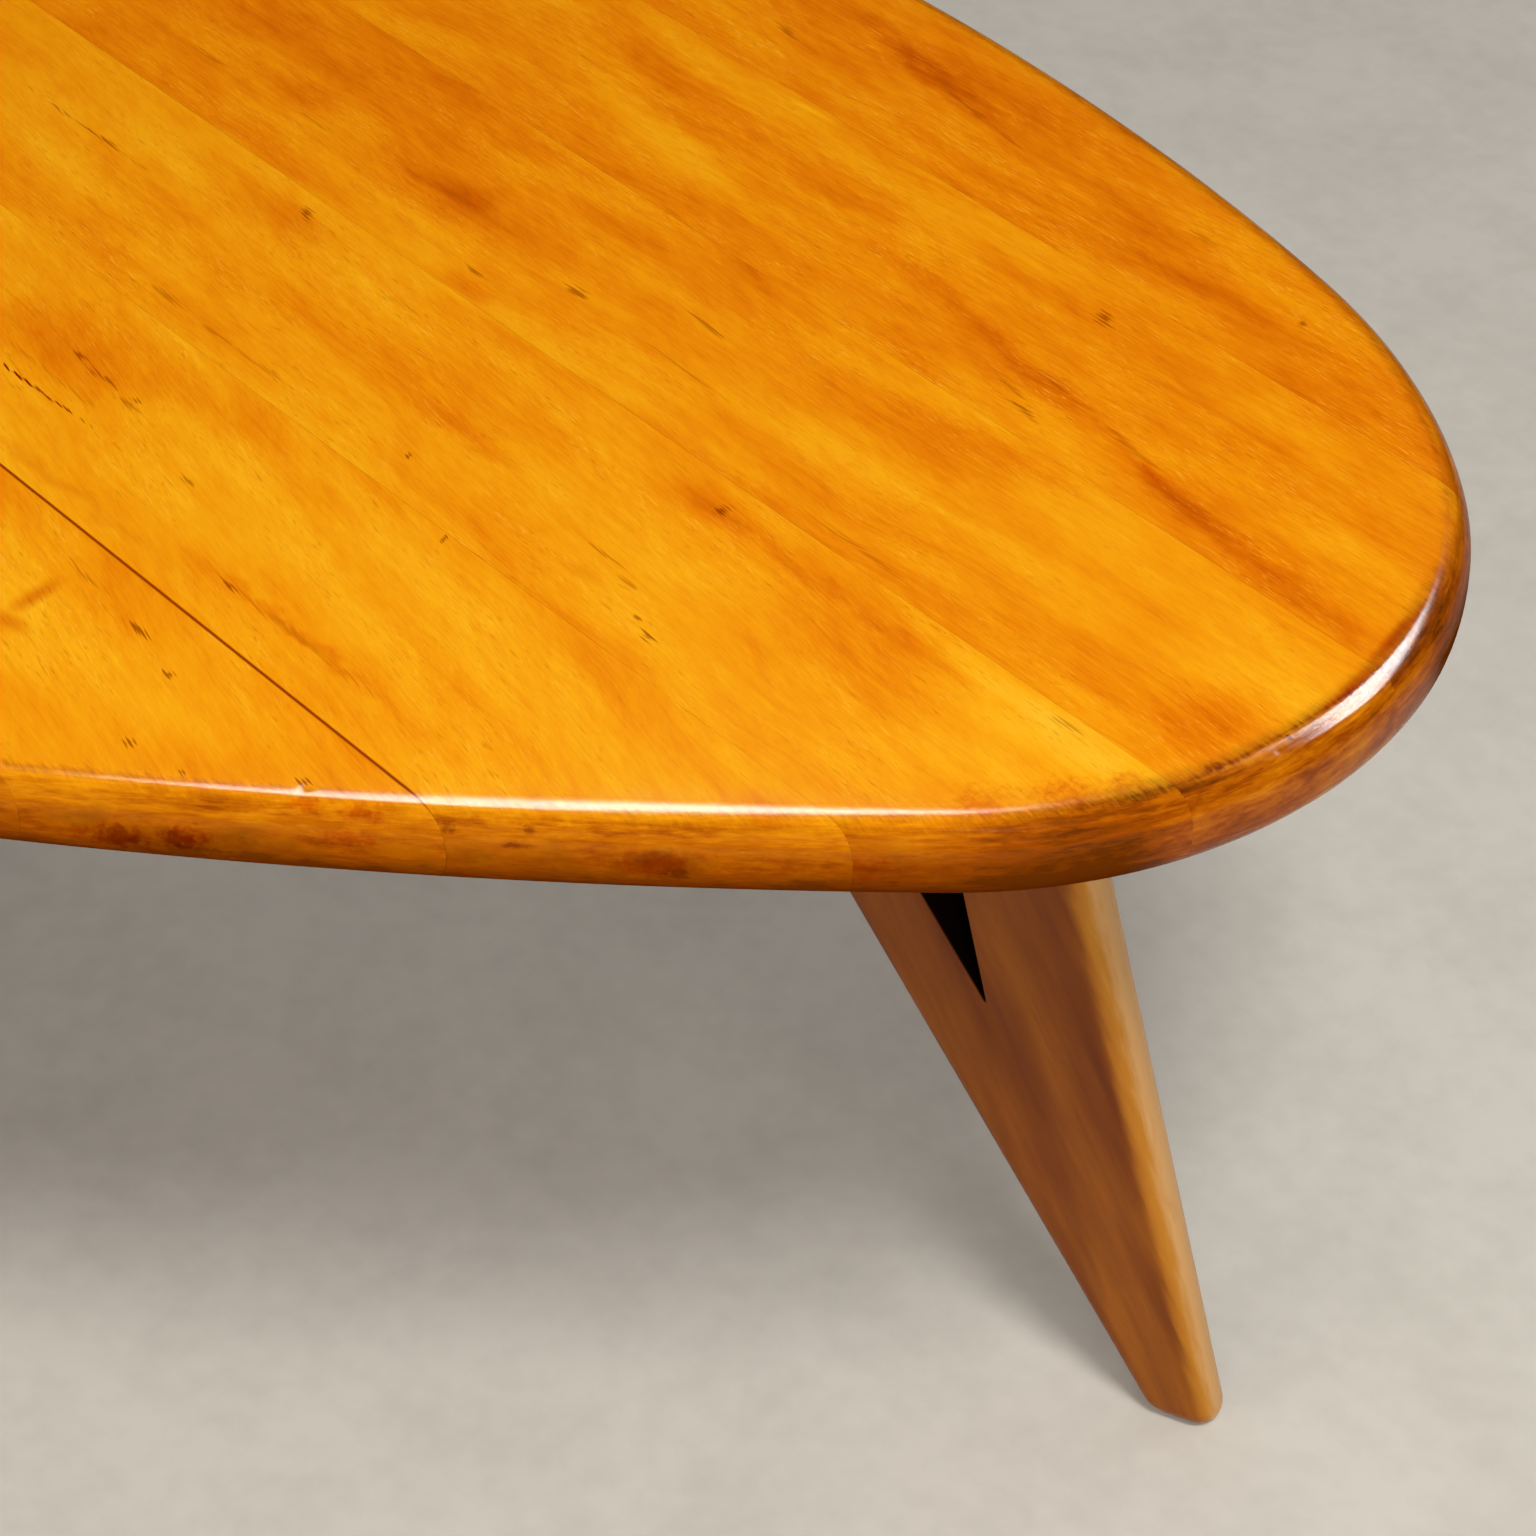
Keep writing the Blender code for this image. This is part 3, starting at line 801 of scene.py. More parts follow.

        # The rim's own tone, and its lower part, which darkens towards the bottom where the layers let it,
        # partly as painted shade.
        tone = add_node(
            tree, "Math", {0: end, 1: self.end_tone, 2: look.rim_tone + self.rim_base},
            operation="MULTIPLY_ADD")
        tone = add_node(tree, "Math", {0: tip, 1: self.tip_tone, 2: tone}, operation="MULTIPLY_ADD")
        sunk: Any = down
        for layer, grain, weight in zip(layers, self.rim_grains, self.low_weights):
            tone = add_node(tree, "Math", {0: layer, 1: grain.weight, 2: tone}, operation="MULTIPLY_ADD")
            sunk = add_node(tree, "Math", {0: layer, 1: weight, 2: sunk}, operation="MULTIPLY_ADD")
        kept = add_node(
            tree, "Math", {0: tip, 1: -self.low_tip_loss, 2: self.low_strength},
            operation="MULTIPLY_ADD")
        low, early = (
            add_node(tree, "MapRange", {
                "Value": sunk, "From Min": start, "From Max": full, "To Min": 0.0, "To Max": kept})
            for start, full in (self.low_fade, self.low_early_fade))
        tone = add_node(
            tree, "Math", {0: early, 1: self.low_early_tone, 2: tone}, operation="MULTIPLY_ADD")

        # Strands of grain cross from the face to the rim, so the change of colour follows them.
        strands = add_node(tree, "Mapping", {
            "Vector": place, "Scale": metres(*self.strand_size)}, vector_type="TEXTURE")
        strands = add_node(tree, "TexNoise", {
            "Vector": strands, "Scale": 1.0, "Detail": 4.0, "Roughness": 0.65})
        over = add_node(tree, "Math", {0: down, 1: self.rim_drop}, operation="MULTIPLY")
        over = add_node(tree, "Math", {0: over, 1: inward}, operation="SUBTRACT")
        crossed: Any = over
        for layer, shift in ((strands, self.rim_strand_shift), (end, self.rim_end_shift)):
            crossed = add_node(tree, "Math", {0: layer, 1: shift, 2: crossed}, operation="MULTIPLY_ADD")
        start, full = self.rim_fade
        on_rim = add_node(tree, "MapRange", {
            "Value": crossed, "From Min": start, "From Max": full, "To Min": 0.0, "To Max": 1.0},
            interpolation_type="SMOOTHSTEP")

        # The worn line lies just below the edge, at the tips just inside it, and strands break it.
        edge = add_node(tree, "Math", {0: over, 1: self.worn_middle}, operation="SUBTRACT")
        edge = add_node(
            tree, "Math", {0: tip, 1: self.worn_tip_shift, 2: edge}, operation="MULTIPLY_ADD")
        edge = add_node(tree, "Math", {0: edge}, operation="ABSOLUTE")
        for layer, reach in ((strands, self.worn_strand_reach), (layers[0], self.worn_cloud_reach)):
            edge = add_node(tree, "Math", {0: layer, 1: -reach, 2: edge}, operation="MULTIPLY_ADD")
        most = add_node(
            tree, "Math", {0: end, 1: self.worn_end_strength - look.border, 2: look.border},
            operation="MULTIPLY_ADD")
        most = add_node(
            tree, "Math", {0: tip, 1: self.worn_tip_gain, 2: most}, operation="MULTIPLY_ADD")
        start, full = self.worn_fade
        border = add_node(tree, "MapRange", {
            "Value": edge, "From Min": start, "From Max": full, "To Min": 0.0, "To Max": most})

        # Gloss is left on the upper rim and the tips; the lower rim is dull and the face rubbed.
        start, full = self.coat_end
        coat = add_node(tree, "MapRange", {
            "Value": down, "From Min": start, "From Max": full, "To Min": self.coat, "To Max": 0.0})
        coat = add_node(tree, "Math", {0: coat, 1: tip}, operation="MAXIMUM")
        start, full = self.flat_fade
        rubbed = add_node(tree, "MapRange", {
            "Value": inward, "From Min": start, "From Max": full, "To Min": 1.0,
            "To Max": self.flat_coat})
        coat = add_node(tree, "Math", {0: coat, 1: rubbed}, operation="MULTIPLY")
        return on_rim, tone, low, border, coat


@dataclass(frozen=True)
class SeamWall:
    """A board's glued or open edge, painted dark for the shade inside a seam: a dark red-brown line."""

    tones: tuple[tuple[float, str], ...] = ((0.35, "3A0E02"), (0.65, "5C1C04"))
    # Size of the mottle in the painted shade.
    dust_size: float = 8.3333 * MM
    roughness: float = 0.9

    def material(self) -> bpy.types.Material:
        """Build the one material of all the seams' walls.

        Returns:
            The material.
        """
        material, tree, shader = new_material("dusty_pine_edge")
        place = add_node(tree, "TexCoord", out="Object")
        dust = add_node(tree, "TexNoise", {"Vector": place, "Scale": 1 / self.dust_size, "Detail": 3.0})
        colour = add_node(tree, "ValToRGB", {0: dust}, stops=list(self.tones))
        tree.links.new(colour, shader.inputs["Base Color"])
        shader.inputs["Roughness"].default_value = self.roughness
        shader.inputs["Specular IOR Level"].default_value = 0.0
        return material


@dataclass(frozen=True)
class StainedBeech:
    """Brown-stained beech under satin lacquer: fine short flecks along the leg, a highlight painted on the
    edges.

    The sides of the fork are painted nearly black as shade and have no lacquer.
    Sizes of the figure run across, across and along the leg. Beech's flecks are finer than a pixel, so
    they are drawn coarser here.
    """

    tones: tuple[tuple[float, str], ...] = (
        (0.25, "602B0A"), (0.45, "71370C"), (0.60, "7D410E"), (0.80, "8F4F12"))
    # Colours of the highlight painted on the rounded edges.
    edge_highlight_tones: tuple[tuple[float, str], ...] = (
        (0.25, "7A4214"), (0.50, "A06018"), (0.75, "B47624"), (0.96, "CA9A60"))
    base_tone: float = -0.25
    broad: Grain = Grain((22, 22, 150), weight=1.20, detail=3.0)
    streak: Grain = Grain((3.2, 3.2, 60), weight=0.30, detail=3.0)
    fleck: Grain = Grain((0.9, 0.9, 8), weight=0.35, detail=2.0)
    edge_streak: float = 0.34
    fleck_colour: str = "4A2008"
    fork_shade_colour: str = "100603"
    streak_relief: float = 0.05 * MM
    roughness: float = 0.5
    coat: float = 0.7
    coat_refraction: float = 1.3
    coat_roughness: float = 0.18

    def material(self, name: str, lean: float, turn: float) -> bpy.types.Material:
        """Build one leg's material.

        Args:
            name: The material's name.
            lean: The leg's lean from upright in its own plane, in radians.
            turn: The leg's turn about Z, in radians.

        Returns:
            The material.
        """
        material, tree, shader = new_material(name)
        place = add_node(tree, "TexCoord", out="Object")
        turned = add_node(
            tree, "VectorRotate", {"Vector": place, "Axis": (0.0, 0.0, 1.0), "Angle": -turn},
            rotation_type="AXIS_ANGLE")
        upright = add_node(
            tree, "VectorRotate", {"Vector": turned, "Axis": (0.0, 1.0, 0.0), "Angle": lean},
            rotation_type="AXIS_ANGLE")
        layers = []
        for grain in (self.broad, self.streak, self.fleck):
            stretched = add_node(tree, "Mapping", {
                "Vector": upright, "Scale": metres(*grain.size)}, vector_type="TEXTURE")
            layers.append(add_node(tree, "TexNoise", {
                "Vector": stretched, "Scale": 1.0, "Detail": grain.detail, "Roughness": 0.55}))
        broad, streak, fleck = layers
        tone = add_node(
            tree, "Math", {0: broad, 1: self.broad.weight, 2: self.base_tone},
            operation="MULTIPLY_ADD")
        tone = add_node(
            tree, "Math", {0: streak, 1: self.streak.weight, 2: tone}, operation="MULTIPLY_ADD")
        colour = add_node(tree, "ValToRGB", {0: tone}, stops=list(self.tones))
        flecks = add_node(tree, "MapRange", {
            "Value": fleck, "From Min": 0.60, "From Max": 0.80, "To Min": 0.0,
            "To Max": self.fleck.weight})

        # A highlight is painted on the rounded outside edges, a little more or less with the streaks.
        edge = add_node(tree, "Attribute", out="Fac", attribute_name="edge")
        edge = add_node(
            tree, "Math", {0: streak, 1: self.edge_streak, 2: edge}, operation="MULTIPLY_ADD")
        edge = add_node(tree, "Math", {0: edge, 1: self.edge_streak / 2}, operation="SUBTRACT")
        highlight_tint = add_node(tree, "ValToRGB", {0: edge}, stops=list(self.edge_highlight_tones))
        edge_highlight = add_node(tree, "MapRange", {
            "Value": edge, "From Min": 0.15, "From Max": 0.6, "To Min": 0.0, "To Max": 0.9},
            interpolation_type="SMOOTHSTEP")
        # The fork's sides get a painted shade, nearly black.
        fork = add_node(tree, "Attribute", out="Fac", attribute_name="fork")
        for amount, tint in (
            (flecks, hex_colour(self.fleck_colour)), (edge_highlight, highlight_tint), (fork, hex_colour(self.fork_shade_colour)),
        ):
            colour = add_node(tree, "Mix", {0: amount, 6: colour, 7: tint}, out=2, data_type="RGBA")

        bump = add_node(tree, "Bump", {
            "Strength": 0.3, "Distance": self.streak_relief, "Height": streak})
        coat = add_node(tree, "Math", {0: fork, 1: -self.coat, 2: self.coat}, operation="MULTIPLY_ADD")
        tree.links.new(colour, shader.inputs["Base Color"])
        tree.links.new(bump, shader.inputs["Normal"])
        tree.links.new(coat, shader.inputs["Coat Weight"])
        shader.inputs["Roughness"].default_value = self.roughness
        shader.inputs["Specular IOR Level"].default_value = 0.0
        shader.inputs["Coat IOR"].default_value = self.coat_refraction
        shader.inputs["Coat Roughness"].default_value = self.coat_roughness
        return material


@dataclass(frozen=True)
class RawBeech:
    """Turned beech dowel, unfinished: pale, matt and close-grained."""

    tones: tuple[tuple[float, str], ...] = ((0.3, "C9A878"), (0.7, "DDC298"))
    grain_size: float = 1.1111 * MM
    roughness: float = 0.75

    def material(self) -> bpy.types.Material:
        """Build the dowels' one material.

        Returns:
            The material.
        """
        material, tree, shader = new_material("raw_beech_dowel")
        place = add_node(tree, "TexCoord", out="Object")
        grain = add_node(tree, "TexNoise", {"Vector": place, "Scale": 1 / self.grain_size, "Detail": 3.0})
        colour = add_node(tree, "ValToRGB", {0: grain}, stops=list(self.tones))
        tree.links.new(colour, shader.inputs["Base Color"])
        shader.inputs["Roughness"].default_value = self.roughness
        return material


@dataclass
class TableTop:
    """The seven boards, cut from one surface at the frame's own seams."""

    finish: LacqueredPine
    wall: SeamWall
    looks: tuple[BoardLook, ...]
    board_count: int = 7
    closed_gap: float = 0.06 * MM
    open_seam: int = 5
    open_gap: float = 0.12 * MM
    rim_gap: float = 0.02 * MM
    fill_start: float = 0.08
    fill_stretch: float = 0.20
    on_cut: float = 0.001 * MM
    sharp_angle: float = math.radians(40)
    form: TopForm = field(init=False)

    def __post_init__(self) -> None:
        """Read the top's size from the frame."""
        lows, highs = zip(*(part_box(self.node(n)) for n in range(1, self.board_count + 1)))
        low, high = np.min(lows, axis=0), np.max(highs, axis=0)
        outline = Outline(half_length=(high[0] - low[0]) / 2, half_depth=(high[1] - low[1]) / 2)
        self.form = TopForm(top=float(high[2]), thickness=float(high[2] - low[2]), outline=outline)

    @staticmethod
    def node(number: int) -> str:
        """Name of a board's CAD node."""
        return f"plank_{number}"

    def seam(self, number: int) -> float:
        """Depth of a seam, halfway between the frame's boards on its two sides."""
        return (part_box(self.node(number))[0].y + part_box(self.node(number + 1))[1].y) / 2

    def gap(self, number: int) -> float:
        """Width of a seam's gap."""
        return self.open_gap if number == self.open_seam else self.closed_gap

    def underside(self) -> float:
        """Height of the middle board's lower face in the frame."""
        return float(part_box(self.node((self.board_count + 1) // 2))[0].z)

    def cut(self, mesh: bpy.types.Mesh, number: int, way: int) -> None:
        """Cut a mesh at a seam, drop the side that way points to, and close the cut.

        The cut lies half the seam's gap inside the board. On the rim lacquer fills the seam, so the
        cut's points move back out there, by a share that grows from 0 to 1 over a stretch of the rim.

        Args:
            mesh: The mesh to cut.
            number: The seam's number.
            way: Which side is cut off: 1 for the back, -1 for the front.
        """
        y = self.seam(number) - way * self.gap(number) / 2
        bm = bmesh.new()
        bm.from_mesh(mesh)
        geometry = bm.verts[:] + bm.edges[:] + bm.faces[:]
        bmesh.ops.bisect_plane(
            bm, geom=geometry, plane_co=(0.0, y, 0.0), plane_no=(0.0, way, 0.0), clear_outer=True)
        rim = [edge for edge in bm.edges if edge.is_boundary]
        wall = bmesh.ops.holes_fill(bm, edges=rim, sides=0)["faces"]
        for face in bm.faces:
            face.smooth = True
        for face in wall:
            face.material_index = 1
        bm.to_mesh(mesh)
        bm.free()

        points = np.empty(3 * len(mesh.vertices), dtype=np.float32)
        down = np.empty(len(mesh.vertices), dtype=np.float32)
        mesh.vertices.foreach_get("co", points)
        mesh.attributes["down"].data.foreach_get("value", down)
        depth = points[1::3]
        spare = (self.gap(number) - self.rim_gap) / 2
        filled = depth + way * spare * np.clip((down - self.fill_start) / self.fill_stretch, 0, 1)
        points[1::3] = np.where(np.abs(depth - y) < self.on_cut, filled, depth)
        mesh.vertices.foreach_set("co", points)

    def build(self) -> list[bpy.types.Object]:
        """Build every board, dress it and hang it on the frame.

        Returns:
            The boards.
        """
        points, faces, attributes = self.form.surface()
        whole = mesh_object("whole_top", points, faces, attributes)
        wall = self.wall.material()
        boards = []
        for number in range(1, self.board_count + 1):
            mesh = whole.data.copy()
            if number > 1:
                self.cut(mesh, number - 1, 1)
            if number < self.board_count:
                self.cut(mesh, number, -1)
            mesh.set_sharp_from_angle(angle=self.sharp_angle)
            board = bpy.data.objects.new(f"board_{number}", mesh)
            bpy.context.scene.collection.objects.link(board)
            mesh.materials.append(
                self.finish.material(f"lacquered_pine_{number}", self.looks[number - 1]))
            mesh.materials.append(wall)
            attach(board, BODY)
            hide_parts(self.node(number))
            log.info("board %d: %d faces", number, len(mesh.polygons))
            boards.append(board)
        bpy.data.objects.remove(whole)
        return boards


@dataclass
class ForkedLeg:
    """One leg: two blades that share a foot and part like a V, each a loft of rounded sections."""

    side: Side
    turn: float
    foot: np.ndarray
    head: float
    finish: StainedBeech
    foot_length: float = 28 * MM
    foot_thickness: float = 22 * MM
    head_thickness: float = 36 * MM
    setback: float = 98 * MM
    head_length: float = 168 * MM
    outer_width: float = 50 * MM
    inner_width: float = 40 * MM
    fork_height: float = 202 * MM
    fork_share: float = 0.58
    fork_lip: float = 1 * MM
    outer_round_share: float = 0.95
    inner_round_share: float = 0.50
    round_limit_share: float = 0.98
    inner_highlight_share: float = 0.62
    foot_round: float = 9.5 * MM
    foot_rows: int = 9
    shaft_rows: int = 64
    corner_steps: int = 12
    flat_steps: int = 6
    edge_ease: float = 0.8 * MM
    glued_ease: float = 0.016 * MM
    sharp_angle: float = math.radians(50)

    def outer_edge(self, z: np.ndarray) -> np.ndarray:
        """Place of the outer edge: it leans in by the setback over the leg's height."""
        return self.foot_length / 2 - self.setback * z / self.head

    def inner_edge(self, z: np.ndarray) -> np.ndarray:
        """Place of the inner edge, which reaches the head's full length behind the outer one."""
        at_head = self.foot_length / 2 - self.setback - self.head_length
        return -self.foot_length / 2 + (at_head + self.foot_length / 2) * z / self.head

    def fork_edge(self, z: np.ndarray, at_head: float) -> np.ndarray:
        """Place of a blade's fork side: the glue line up to the fork, then straight to its head.

        Args:
            z: Heights above the floor.
            at_head: The place at the head.

        Returns:
            The place at each height.
        """
        fork = np.array([self.fork_height])
        tip = float((self.outer_edge(fork) * (1 - self.fork_share)
                     + self.inner_edge(fork) * self.fork_share)[0])
        above = (z - self.fork_height) / (self.head - self.fork_height)
        return np.where(z <= self.fork_height, tip * z / self.fork_height, tip + (at_head - tip) * above)

    def section_loop(
        self, fork: np.ndarray, edge: np.ndarray, half: np.ndarray, ease: np.ndarray, round_: np.ndarray,
    ) -> tuple[np.ndarray, np.ndarray, np.ndarray]:
        """Closed sections, one row a level: a rectangle whose four corners are arcs.

        Each corner is a centre plus its radius times the cosine and sine of an angle that runs through
        a quarter turn; the fork side's corners are barely eased and the outside's are round. Extra
        points lie along the two wide faces.

        Args:
            fork: Place of the fork side at each level.
            edge: Place of the outside edge.
            half: Half the thickness.
            ease: Radius of the fork side's corners.
            round_: Radius of the outside corners.

        Returns:
            Points as level, step, and place along and across the leg; and for each step how far it
            lies on the rounded outside and on the fork side, from 0 to 1.
        """
        way = np.sign(edge - fork)
        quarter = np.linspace(0, math.pi / 2, self.corner_steps)
        steps = np.linspace(0, 1, self.flat_steps + 2)[1:-1]
        corners = (
            (edge, way, 1, round_, quarter),
            (fork, -way, 1, ease, quarter + math.pi / 2),
            (fork, -way, -1, ease, quarter + math.pi),
            (edge, way, -1, round_, quarter + 3 * math.pi / 2),
        )
        arcs = [
            np.stack([
                (place - outwards * radius)[:, None] + (way * radius)[:, None] * np.cos(angle)[None],
                (across * (half - radius))[:, None] + radius[:, None] * np.sin(angle)[None]], axis=-1)
            for place, outwards, across, radius, angle in corners]
        faces = [
            first[:, -1:] + (second[:, :1] - first[:, -1:]) * steps[None, :, None]
            for first, second in ((arcs[0], arcs[1]), (arcs[2], arcs[3]))]
        bare, rising = np.zeros(self.flat_steps), np.sin(quarter)
        none = np.zeros(self.corner_steps)
        loop = np.concatenate([arcs[0], faces[0], arcs[1], arcs[2], faces[1], arcs[3]], axis=1)
        rounded = np.concatenate([rising[::-1], bare, none, none, bare, rising])
        forked = np.concatenate([none, bare, rising, rising[::-1], bare, none])
        return loop, rounded, forked

    def blade(self, name: str, outer: bool, material: bpy.types.Material) -> bpy.types.Object:
        """Loft one blade, dress it and hang it on the frame.

        At the foot the outline draws in by a quarter circle's inset, which rounds the edge over the
        floor. Above the fork the fork side's corners are eased, and below it they meet at a glue line.

        Args:
            name: Blade name within the leg.
            outer: Whether it is the outer blade.
            material: The leg's material.

        Returns:
            The blade.
        """
        curl = np.linspace(0, math.pi / 2, self.foot_rows)
        z = np.concatenate([
            self.foot_round * (1 - np.cos(curl)),
            np.linspace(self.foot_round, self.head, self.shaft_rows)[1:],
            [self.fork_height, self.fork_height + self.fork_lip]])
        z = np.sort(z)
        rise = np.clip(1 - (1 - z / self.foot_round) ** 2, 0, 1)
        inset = np.where(z < self.foot_round, self.foot_round * (1 - np.sqrt(rise)), 0.0)
        half = (self.foot_thickness + (self.head_thickness - self.foot_thickness) * z / self.head) / 2
        head = np.array([self.head])
        if outer:
            edge = self.outer_edge(z) - inset
            at_head = float(self.outer_edge(head)[0]) - self.outer_width
            round_ = half * self.outer_round_share
        else:
            edge = self.inner_edge(z) + inset
            at_head = float(self.inner_edge(head)[0]) + self.inner_width
            round_ = half * self.inner_round_share
        fork = self.fork_edge(z, at_head)
        round_ = np.minimum(round_, (half - inset) * self.round_limit_share)
        ease = np.where(z > self.fork_height, self.edge_ease, self.glued_ease)
        loop, rounded, forked = self.section_loop(fork, edge, half - inset, ease, round_)
        levels, steps = loop.shape[:2]
        cosine, sine = math.cos(self.turn), math.sin(self.turn)
        along, across = loop[..., 0], loop[..., 1]
        points = np.stack([
            self.foot[0] + along * cosine - across * sine,
            self.foot[1] + along * sine + across * cosine,
            np.broadcast_to(z[:, None], along.shape)], axis=-1).reshape(-1, 3)
        faces = grid_faces(levels, steps)
        caps = [list(range(steps))[::-1], list(range((levels - 1) * steps, levels * steps))]
        if not outer:
            faces = faces[:, ::-1]
            caps = [cap[::-1] for cap in caps]
        above = (z > self.fork_height).astype(float)
        attributes = {
            # How strong the painted edge highlight is: weaker on the inner blade.
            "edge": np.tile(rounded * (1.0 if outer else self.inner_highlight_share), levels),
            "fork": (above[:, None] * forked[None]).ravel(),
        }
        blade = mesh_object(
            f"{self.side.value}_{name}_blade", points, faces.tolist() + caps, attributes)
        blade.data.set_sharp_from_angle(angle=self.sharp_angle)
        blade.data.materials.append(material)
        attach(blade, BODY)
        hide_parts(f"leg_{self.side.value}_{name}_blade")
        log.info("%s %s blade: %d faces", self.side.value, name, len(blade.data.polygons))
        return blade

    def build(self) -> list[bpy.types.Object]:
        """Build both blades in one wood."""
        lean = math.atan2(self.setback + self.head_length / 2, self.head)
        material = self.finish.material(f"stained_beech_{self.side.value}_leg", lean, self.turn)
        return [self.blade("outer", True, material), self.blade("inner", False, material)]


@dataclass
class LegSet:
    """The three legs: each foot stands inside the rim of its corner, with its outer edge facing out."""

    finish: StainedBeech
    foot_inset: float = 65 * MM
    corner_turn: float = math.radians(22.8)
    head_clearance: float = 0.02 * MM

    def build(self, outline: Outline, underside: float) -> None:
        """Build the legs under a top.

        Args:
            outline: The top's outline, whose corner circles say where the feet stand.
            underside: Height of the top's lower face.
        """
        nose, front = outline.nose_centre(), outline.front_centre()
        way = np.array([math.cos(self.corner_turn), math.sin(self.corner_turn)])
        right = nose + (outline.nose_radius - self.foot_inset) * way
        stands = {
            Side.RIGHT: (right, self.corner_turn),
            Side.LEFT: (right * np.array([-1.0, 1.0]), math.pi - self.corner_turn),
            Side.FRONT: (
                front - np.array([0.0, outline.front_radius - self.foot_inset]), -math.pi / 2),
        }
        head = underside - self.head_clearance
        for side, (foot, turn) in stands.items():
            ForkedLeg(side=side, turn=turn, foot=foot, head=head, finish=self.finish).build()


@dataclass
class Dowels:
    """The dowels and pins glued inside the joints, which keep their CAD shape."""

    finish: RawBeech

    def dress(self) -> None:
        """Give every dowel the raw beech."""
        material = self.finish.material()
        names = [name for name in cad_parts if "dowel" in name or "pin" in name]
        for name in names:
            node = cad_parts[name]
            node.data.materials.clear()
            node.data.materials.append(material)
        log.info("dowels dressed: %d", len(names))


@dataclass(frozen=True)
class FloorPaint:
    """Pale grey floor paint, rolled on and gone dull: matt and even, with faint clouds and mottle."""

    tones: tuple[tuple[float, str], ...] = ((0.62, "CAC4B9"), (1.0, "D3CDC2"))
    cloud_size: float = 71.429 * MM
    mottle_size: float = 14.286 * MM
    mottle_weight: float = 0.7
    roughness: float = 0.85
    gloss: float = 0.2

    def material(self) -> bpy.types.Material:
        """Build the floor's material.

        Returns:
            The material.
        """
        material, tree, shader = new_material("dull_floor_paint")
        place = add_node(tree, "TexCoord", out="Object")
        cloud, mottle = (
            add_node(tree, "TexNoise", {"Vector": place, "Scale": 1 / size, "Detail": 4.0})
            for size in (self.cloud_size, self.mottle_size))
        tone = add_node(
            tree, "Math", {0: mottle, 1: self.mottle_weight, 2: cloud}, operation="MULTIPLY_ADD")
        colour = add_node(tree, "ValToRGB", {0: tone}, stops=list(self.tones))
        tree.links.new(colour, shader.inputs["Base Color"])
        shader.inputs["Roughness"].default_value = self.roughness
        shader.inputs["Specular IOR Level"].default_value = self.gloss
        return material


@dataclass(frozen=True)
class Lamp:
    """One soft box: its direction from the table as right, away and up in the camera's view.

    A room's large pale surfaces do the plain lighting and its windows the bright reflections, so a
    lamp either lights the table unseen or is only mirrored in its lacquer.
    """

    name: str
    way: tuple[float, float, float]
    distance: float
    size: tuple[float, float]
    power: float
    mirrored: bool
    roll: float = 0.0


